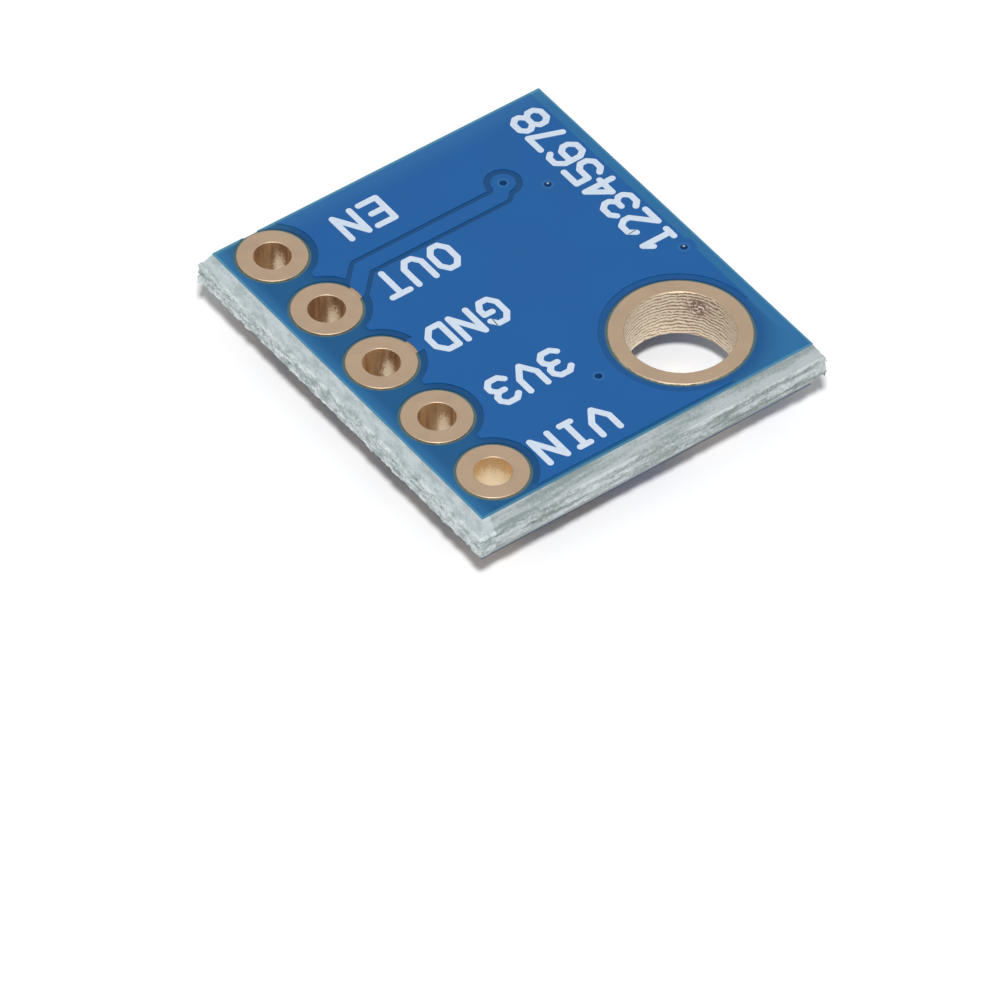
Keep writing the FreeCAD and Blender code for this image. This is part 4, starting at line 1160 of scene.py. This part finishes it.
def pin_wall(tree, place, grain, settings):
    """Height, colour and dull share of a pin hole's wall: brown streaks, and low on one side a pale
    patch of painted reflection.
    """
    axes = add_node(tree, "ShaderNodeSeparateXYZ", {"Vector": place})
    from_first = add_node(
        tree, "ShaderNodeMath", {0: axes.outputs["X"], 1: PIN_CENTRES[0].x}, operation="SUBTRACT"
    )
    from_centre = add_node(
        tree,
        "ShaderNodeMath",
        {0: from_first.outputs[0], 1: PIN_PITCH / 2, 2: -PIN_PITCH / 2},
        operation="WRAP",
    )
    across = add_node(
        tree, "ShaderNodeMath", {0: axes.outputs["Y"], 1: PIN_CENTRES[0].y}, operation="SUBTRACT"
    )
    local = add_node(
        tree, "ShaderNodeCombineXYZ", {"X": from_centre.outputs[0], "Y": across.outputs[0]}
    )
    # Distance along the side of the hole where the pale patch of painted reflection lies, to the
    # patch's middle
    along = add_node(
        tree,
        "ShaderNodeVectorMath",
        {0: local.outputs["Vector"], 1: (0.6, 0.8, 0.0)},
        operation="DOT_PRODUCT",
    )
    aside = add_node(
        tree, "ShaderNodeMath", {0: along.outputs["Value"], 1: 0.19 * MM}, operation="SUBTRACT"
    )
    distance = add_node(
        tree, "ShaderNodeMath", {0: aside.outputs[0]}, operation="ABSOLUTE"
    ).outputs[0]
    side = band(tree, distance, 0.32 * MM, 0.02 * MM)
    # Painted light: the last hole's wall is paler all over, with the pale patch all round its lower
    # part
    lit_last_hole = add_node(
        tree,
        "ShaderNodeMath",
        {0: axes.outputs["X"], 1: PIN_CENTRES[4].x - PIN_PITCH / 2},
        operation="GREATER_THAN",
    )
    wide = add_node(tree, "ShaderNodeMath", {0: side, 1: lit_last_hole.outputs[0]}, operation="MAXIMUM")
    low = band(tree, axes.outputs["Z"], BOARD_TOP + 0.05 * MM, BOARD_TOP - 0.9 * MM)
    cover = add_node(tree, "ShaderNodeMath", {0: wide.outputs[0], 1: low}, operation="MULTIPLY")
    speckled = add_node(
        tree, "ShaderNodeMath", {0: grain, 1: 1.5, 2: cover.outputs[0]}, operation="MULTIPLY_ADD"
    )
    # Painted reflection: the pale patch, speckled, low on one side of each hole
    film_and_glare = band(tree, speckled.outputs[0], 0.95, 1.65)
    stretched = add_node(
        tree,
        "ShaderNodeMapping",
        {"Vector": place, "Scale": (1 / (0.25 * MM), 1 / (0.25 * MM), 1 / (2.5 * MM))},
    )
    streaks = add_node(
        tree,
        "ShaderNodeTexNoise",
        {"Vector": stretched.outputs["Vector"], "Scale": 1.0, "Detail": 3.0},
    )
    golden = add_node(
        tree,
        "ShaderNodeMath",
        {0: lit_last_hole.outputs[0], 1: band(tree, streaks.outputs["Fac"], 0.38, 0.64)},
        operation="MAXIMUM",
    )
    streaked = add_node(
        tree,
        "ShaderNodeMix",
        {"Factor": golden.outputs[0], 6: settings.pin_shade, 7: settings.pin_wall},
        data_type="RGBA",
    )
    filmed_and_glared = add_node(
        tree,
        "ShaderNodeMix",
        {"Factor": film_and_glare, 6: streaked.outputs[2], 7: settings.film_and_glare},
        data_type="RGBA",
    )
    dull = add_node(tree, "ShaderNodeMath", {0: film_and_glare, 1: 0.5, 2: 0.06}, operation="MULTIPLY_ADD")
    return film_and_glare, filmed_and_glared.outputs[2], dull.outputs[0]


def drilled_wall(tree, place, grain, settings):
    """Height, colour and dull film share of the mounting hole's wall: wavy ridges with painted
    shade in their grooves, and one brown patch.
    """
    wave = add_node(
        tree,
        "ShaderNodeTexNoise",
        {"Vector": place, "Scale": 1 / (0.5 * MM), "Detail": 4.0, "Roughness": 0.65},
    )
    level = add_node(tree, "ShaderNodeSeparateXYZ", {"Vector": place})
    shifted = add_node(
        tree,
        "ShaderNodeMath",
        {0: wave.outputs["Fac"], 1: 0.34 * MM, 2: level.outputs["Z"]},
        operation="MULTIPLY_ADD",
    )
    turns = add_node(
        tree,
        "ShaderNodeMath",
        {0: shifted.outputs[0], 1: 2 * math.pi / settings.ridge_pitch},
        operation="MULTIPLY",
    )
    ridges = add_node(tree, "ShaderNodeMath", {0: turns.outputs[0]}, operation="SINE")
    coarse = add_node(
        tree, "ShaderNodeMath", {0: grain, 1: 2.6, 2: ridges.outputs[0]}, operation="MULTIPLY_ADD"
    ).outputs[0]
    grooves = band(tree, coarse, 1.6, 0.1)
    # The patch lies on the far wall, below the rim.
    turn = math.radians(124)
    wall_radius = RING_RADIUS - RING_WIDTH
    patch_place = Vector((
        RING_CENTRE.x + wall_radius * math.cos(turn),
        RING_CENTRE.y + wall_radius * math.sin(turn),
        BOARD_TOP - 0.5 * MM,
    ))
    away = add_node(tree, "ShaderNodeVectorMath", {0: place, 1: patch_place}, operation="DISTANCE")
    spots = add_node(
        tree, "ShaderNodeTexNoise", {"Vector": place, "Scale": 1 / (0.07 * MM), "Detail": 2.0}
    ).outputs["Fac"]
    # Painted shade in the grooves all over, browner tarnish in the grooves round the patch, then
    # the patch's brown spots and its painted glints
    shade = settings.barrel
    for reach, pattern, tint in (
        (None, grooves, settings.groove_shade),
        (1.5 * MM, grooves, settings.tarnish),
        (0.5 * MM, band(tree, spots, 0.6, 0.42), settings.tarnish),
        (0.35 * MM, band(tree, spots, 0.54, 0.6), (1.0, 0.93, 0.93, 1.0)),
    ):
        if reach:
            near = band(tree, away.outputs["Value"], reach, reach * 0.3)
            pattern = add_node(
                tree, "ShaderNodeMath", {0: pattern, 1: near}, operation="MULTIPLY"
            ).outputs[0]
        shade = add_node(
            tree, "ShaderNodeMix", {"Factor": pattern, 6: shade, 7: tint}, data_type="RGBA"
        ).outputs[2]
    dull = add_node(tree, "ShaderNodeValue").outputs["Value"]
    dull.default_value = 0.4
    return coarse, shade, dull


def plain_finish(name, base, other, grain_size, depth, roughness, metallic=0.0):
    """A finish with a fine grain between two colours, and the same grain in its relief."""
    material, tree, shader, place = new_material(name)
    grain = add_node(
        tree, "ShaderNodeTexNoise", {"Vector": place, "Scale": 1 / grain_size, "Detail": 3.0}
    )
    shade = add_node(
        tree,
        "ShaderNodeMix",
        {"Factor": grain.outputs["Fac"], 6: srgb(base), 7: srgb(other)},
        data_type="RGBA",
    )
    bump = add_node(
        tree, "ShaderNodeBump", {"Height": grain.outputs["Fac"], "Strength": 0.5, "Distance": depth}
    )
    set_inputs(tree, shader, {
        "Base Color": shade.outputs[2],
        "Normal": bump.outputs["Normal"],
        "Roughness": roughness,
        "Metallic": metallic,
    })
    return material


def inked_copper():
    """Walls of the vias, which the mask has run into: dark and glossy, with a glint in two."""
    material = plain_finish(
        "plated_copper_inked", "#133A6C", "#2E5F92", 0.05 * MM, 0.004 * MM, 0.18
    )
    tree = material.node_tree
    shader = tree.nodes["Principled BSDF"]
    base = shader.inputs["Base Color"].links[0].from_socket
    place = add_node(tree, "ShaderNodeTexCoord").outputs["Object"]
    for name in ("left_via_plating", "far_via_plating"):
        glint = VIA_CENTRES[name] + Vector((-0.08, 0.06, -0.05)) * MM
        away = add_node(
            tree, "ShaderNodeVectorMath", {0: place, 1: glint}, operation="DISTANCE"
        ).outputs["Value"]
        base = add_node(
            tree,
            "ShaderNodeMix",
            {"Factor": band(tree, away, 0.055 * MM, 0.02 * MM), 6: base, 7: srgb("#D9E8E8")},
            data_type="RGBA",
        ).outputs[2]
    tree.links.new(base, shader.inputs["Base Color"])
    return material


class BOARD_OT_finish(bpy.types.Operator):
    """Finishes the solder mask, the copper and the plated holes"""

    bl_idname = "board.finish"
    bl_label = "Finish the board"

    def execute(self, context):
        scene = context.scene
        dress(solder_mask(scene.board_mask), "back_solder_mask", "front_solder_mask")
        gold = immersion_gold(scene.board_plating, ridged=False)
        flat = [name for name in NODES if name.endswith(("_pour", "_track"))]
        holes = [name for name in NODES if name.startswith("pin_hole_plating")]
        dress(gold, *flat, *holes, "sensor_terminals")
        dress(inked_copper(), *VIA_CENTRES)
        dress(immersion_gold(scene.board_plating, ridged=True), "mounting_hole_plating")
        return {"FINISHED"}


# Components


def clear_glass():
    """Borosilicate lid, polished: clear, with a faint warmth where it is thick."""
    material, tree, shader, place = new_material("borosilicate_glass_polished")
    smear = add_node(
        tree, "ShaderNodeTexNoise", {"Vector": place, "Scale": 1 / (0.8 * MM), "Detail": 2.0}
    )
    haze = add_node(
        tree, "ShaderNodeMapRange", {"Value": smear.outputs["Fac"], "To Min": 0.0, "To Max": 0.06}
    )
    set_inputs(tree, shader, {
        "Roughness": haze.outputs["Result"],
        "Base Color": srgb("#F4F8F6"),
        "IOR": 1.47,
        "Transmission Weight": 1.0,
    })
    return material


# Name, both colours, size of the grain and depth of its relief in millimetres, roughness and
# metallic share of a finish, and what the names of the nodes that have it start or end with
COMPONENT_FINISHES = [
    # Sintered alumina: matt, slightly warm white with a sandy grain
    ("alumina_sintered", "#E9E4D6", "#D8D0BE", 0.03, 0.002, 0.6, 0.0, "sensor_base"),
    # Dense white alumina of the resistor
    ("alumina_chip", "#EDEDE9", "#DEDED8", 0.03, 0.001, 0.5, 0.0, "resistor_body"),
    # Barium titanate, sintered: matt tan ceramic
    ("barium_titanate_sintered", "#A07F5E", "#8C6C4E", 0.04, 0.001, 0.5, 0.0, "capacitor_body"),
    # Black glass overcoat, fired: glossy and slightly wavy
    ("glass_overcoat_fired", "#121214", "#1B1B1E", 0.1, 0.002, 0.25, 0.0, "resistor_coat"),
    # Epoxy moulding compound: near-black, matt from the mould's spark-eroded walls
    ("epoxy_compound_moulded", "#1A1B1D", "#232527", 0.03, 0.003, 0.55, 0.0, "regulator_body"),
    # Silicon die, polished: dark with a violet sheen from its thin coating
    ("silicon_die_coated", "#2A2740", "#39324F", 0.2, 0.0005, 0.15, 0.0, "sensor_die"),
    # Matt tin on the leads and the chips' ends
    ("matt_tin_plated", "#C9C8C4", "#B5B4B0", 0.02, 0.001, 0.4, 1.0, ("regulator_lead", "_ends")),
    # Lead-free solder, reflowed: bright with a fine frosty grain
    ("tin_solder_reflowed", "#D3D4D4", "#BFC1C2", 0.04, 0.002, 0.25, 1.0, "_solder"),
    # Gold seal frame under the lid
    ("gold_seal_frame", "#D2A95A", "#BF964A", 0.05, 0.001, 0.3, 1.0, "sensor_lid_seal"),
]


class BOARD_OT_components(bpy.types.Operator):
    """Finishes the sensor, the regulator and the chip components"""

    bl_idname = "board.components"
    bl_label = "Finish the components"

    def execute(self, context):
        for name, base, other, grain, depth, roughness, metallic, worn in COMPONENT_FINISHES:
            finish = plain_finish(name, base, other, grain * MM, depth * MM, roughness, metallic)
            dress(finish, *[node for node in NODES if node.startswith(worn) or node.endswith(worn)])
        dress(clear_glass(), "sensor_lid")
        return {"FINISHED"}


# Bond wires


def wire_tree(material):
    """A round wire along each arched line."""
    tree, entry = new_tree("Bond wires", {"Diameter": "NodeSocketFloat"})
    radius = add_node(
        tree, "ShaderNodeMath", {0: entry.outputs["Diameter"], 1: 0.5}, operation="MULTIPLY"
    ).outputs[0]
    curves = add_node(tree, "GeometryNodeMeshToCurve", {"Mesh": entry.outputs["Geometry"]})
    smooth = add_node(
        tree,
        "GeometryNodeCurveSplineType",
        {"Curve": curves.outputs["Curve"]},
        spline_type="CATMULL_ROM",
    )
    fine = add_node(
        tree,
        "GeometryNodeResampleCurve",
        {"Curve": smooth.outputs["Curve"], "Count": 14},
        mode="COUNT",
    )
    ring = add_node(tree, "GeometryNodeCurvePrimitiveCircle", {"Resolution": 8, "Radius": radius})
    wire = add_node(
        tree,
        "GeometryNodeCurveToMesh",
        {"Curve": fine.outputs["Curve"], "Profile Curve": ring.outputs["Curve"], "Fill Caps": True},
    )
    end_tree(tree, wire.outputs["Mesh"], material)
    return tree


class BOARD_OT_wires(bpy.types.Operator):
    """Bonds the sensor's die to the shelf of its package"""

    bl_idname = "board.wires"
    bl_label = "Bond the die"

    def execute(self, context):
        settings = context.scene.board_wires
        radius = settings.diameter / 2
        middle = (DIE_LOW + DIE_HIGH) / 2
        # A wire's ends: distance from the die's middle, pitch, and level, a little into the surface
        on_die = (0.52 * MM, 0.32 * MM, DIE_LOW.z - radius * 0.6)
        on_shelf = (1.15 * MM, 0.5 * MM, BASE_LOW.z + SHELF_DEPTH - radius * 0.6)
        lines = []
        for side in (-1, 1):
            for step in (-1, 0, 1):
                start, stop = [
                    Vector((middle.x + side * reach, middle.y + step * pitch, level))
                    for reach, pitch, level in (on_die, on_shelf)
                ]
                crest = start.lerp(stop, 0.35)
                crest.z = min(start.z, stop.z) - settings.loop_height
                fall = start.lerp(stop, 0.7) + Vector((0, 0, -settings.loop_height / 2))
                lines.append([start, crest, fall, stop])
        # Drawn gold wire: bright and smooth
        gold = plain_finish(
            "gold_wire_drawn", "#E0B75E", "#D2A64E", 0.05 * MM, 0.0003 * MM, 0.2, 1.0
        )
        values = {"Diameter": settings.diameter}
        piece = grow("bond_wires", line_mesh("bond_wires", lines), wire_tree(gold), values)
        for face in piece.data.polygons:
            face.use_smooth = True
        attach(piece, "root")
        return {"FINISHED"}


# Stage


def background_seen(tree):
    """One for rays that show the background, direct, through glass or in metal, else zero."""
    rays = add_node(tree, "ShaderNodeLightPath")
    return highest(tree, [
        rays.outputs["Is Camera Ray"],
        rays.outputs["Is Glossy Ray"],
        rays.outputs["Is Transmission Ray"],
    ])


def paper_floor(base):
    """Matt white paper, shaded by the board, fading to the background and open from below."""
    material, tree, shader, place = new_material("white_paper_matt")
    output = shader.outputs["BSDF"].links[0].to_node
    set_inputs(tree, shader, {"Base Color": base, "Roughness": 0.9, "Specular IOR Level": 0.0})
    distance = add_node(tree, "ShaderNodeVectorMath", {0: place}, operation="LENGTH")
    far = add_node(
        tree,
        "ShaderNodeMapRange",
        {"Value": distance.outputs["Value"], "From Min": FADE_START, "From Max": FADE_END},
    )
    share = add_node(
        tree,
        "ShaderNodeMath",
        {0: far.outputs["Result"], 1: background_seen(tree)},
        operation="MULTIPLY",
    )
    white = add_node(tree, "ShaderNodeEmission")
    paper = add_node(
        tree,
        "ShaderNodeMixShader",
        {0: share.outputs[0], 1: shader.outputs["BSDF"], 2: white.outputs[0]},
    )
    # Its lower face is clear, so the underside can be looked at from below.
    below = add_node(tree, "ShaderNodeNewGeometry").outputs["Backfacing"]
    clear = add_node(tree, "ShaderNodeBsdfTransparent")
    sided = add_node(
        tree, "ShaderNodeMixShader", {0: below, 1: paper.outputs[0], 2: clear.outputs[0]}
    )
    tree.links.new(sided.outputs[0], output.inputs["Surface"])
    return material


def add_softbox(name, place, size, power):
    """A square soft light that faces the board."""
    light = bpy.data.lights.new(name, "AREA")
    light.size = size
    light.energy = power
    box = bpy.data.objects.new(name, light)
    box.location = place
    box.rotation_mode = "QUATERNION"
    box.rotation_quaternion = (-place).to_track_quat("-Z", "Y")
    bpy.context.scene.collection.objects.link(box)


class BOARD_OT_stage(bpy.types.Operator):
    """Sets the floor, the lights and the camera"""

    bl_idname = "board.stage"
    bl_label = "Set the stage"

    def execute(self, context):
        scene = context.scene
        settings = scene.board_stage
        scene.view_settings.view_transform = "Standard"

        turns = ((-1, -1), (1, -1), (1, 1), (-1, 1))
        corners = [(x * FLOOR_REACH, y * FLOOR_REACH, FLOOR_LEVEL) for x, y in turns]
        mesh = bpy.data.meshes.new("floor")
        mesh.from_pydata(corners, [], [(0, 1, 2, 3)])
        floor = bpy.data.objects.new("floor", mesh)
        floor.data.materials.append(paper_floor(settings.floor))
        scene.collection.objects.link(floor)

        world = bpy.data.worlds.new("Studio")
        world.use_nodes = True
        tree = world.node_tree
        tree.nodes.clear()
        # The camera, glass and metal see white past the floor, and all else the plain surround.
        strength = add_node(
            tree,
            "ShaderNodeMapRange",
            {"Value": background_seen(tree), "To Min": settings.surround, "To Max": 1.0},
        )
        background = add_node(
            tree,
            "ShaderNodeBackground",
            {"Color": (1.0, 1.0, 1.0, 1.0), "Strength": strength.outputs["Result"]},
        )
        add_node(tree, "ShaderNodeOutputWorld", {"Surface": background.outputs["Background"]})
        scene.world = world

        add_softbox("key_softbox", KEY_PLACE, KEY_SIZE, settings.key_power)

        camera = bpy.data.cameras.new("camera")
        camera.lens = FOCAL_WIDTHS * camera.sensor_width
        camera.clip_start, camera.clip_end = 0.01, 5.0
        view = bpy.data.objects.new("camera", camera)
        turn = Matrix((CAMERA_RIGHT, -CAMERA_DOWN, -CAMERA_FORWARD)).transposed()
        view.matrix_world = Matrix.Translation(CAMERA_PLACE * MM) @ turn.to_4x4()
        scene.collection.objects.link(view)
        scene.camera = view
        return {"FINISHED"}


class BOARD_PT_sidebar(bpy.types.Panel):
    """Lists the board's pieces and their settings."""

    bl_label = "Sensor board"
    bl_idname = "BOARD_PT_sidebar"
    bl_space_type = "VIEW_3D"
    bl_region_type = "UI"
    bl_category = "Sensor board"

    def draw(self, context):
        for operator, group in STEPS:
            box = self.layout.box()
            box.operator(operator.bl_idname)
            if group:
                settings = getattr(context.scene, group)
                for name in settings.__annotations__:
                    box.prop(settings, name)


GROUPS = {
    "board_print": PrintSettings,
    "board_edges": EdgeSettings,
    "board_mask": MaskSettings,
    "board_plating": PlatingSettings,
    "board_wires": WireSettings,
    "board_stage": StageSettings,
}
STEPS = [
    (BOARD_OT_edges, "board_edges"),
    (BOARD_OT_finish, "board_mask"),
    (BOARD_OT_print, "board_print"),
    (BOARD_OT_components, None),
    (BOARD_OT_wires, "board_wires"),
    (BOARD_OT_stage, "board_stage"),
]
CLASSES = [*GROUPS.values(), *[operator for operator, _ in STEPS], BOARD_PT_sidebar]


def register():
    for cls in CLASSES:
        bpy.utils.register_class(cls)
    for name, group in GROUPS.items():
        setattr(bpy.types.Scene, name, bpy.props.PointerProperty(type=group))


def unregister():
    for name in GROUPS:
        delattr(bpy.types.Scene, name)
    for cls in reversed(CLASSES):
        bpy.utils.unregister_class(cls)


def main():
    """Builds every piece in order."""
    register()
    for operator, _ in STEPS:
        getattr(bpy.ops.board, operator.bl_idname.split(".")[1])()


if __name__ == "__main__":
    main()
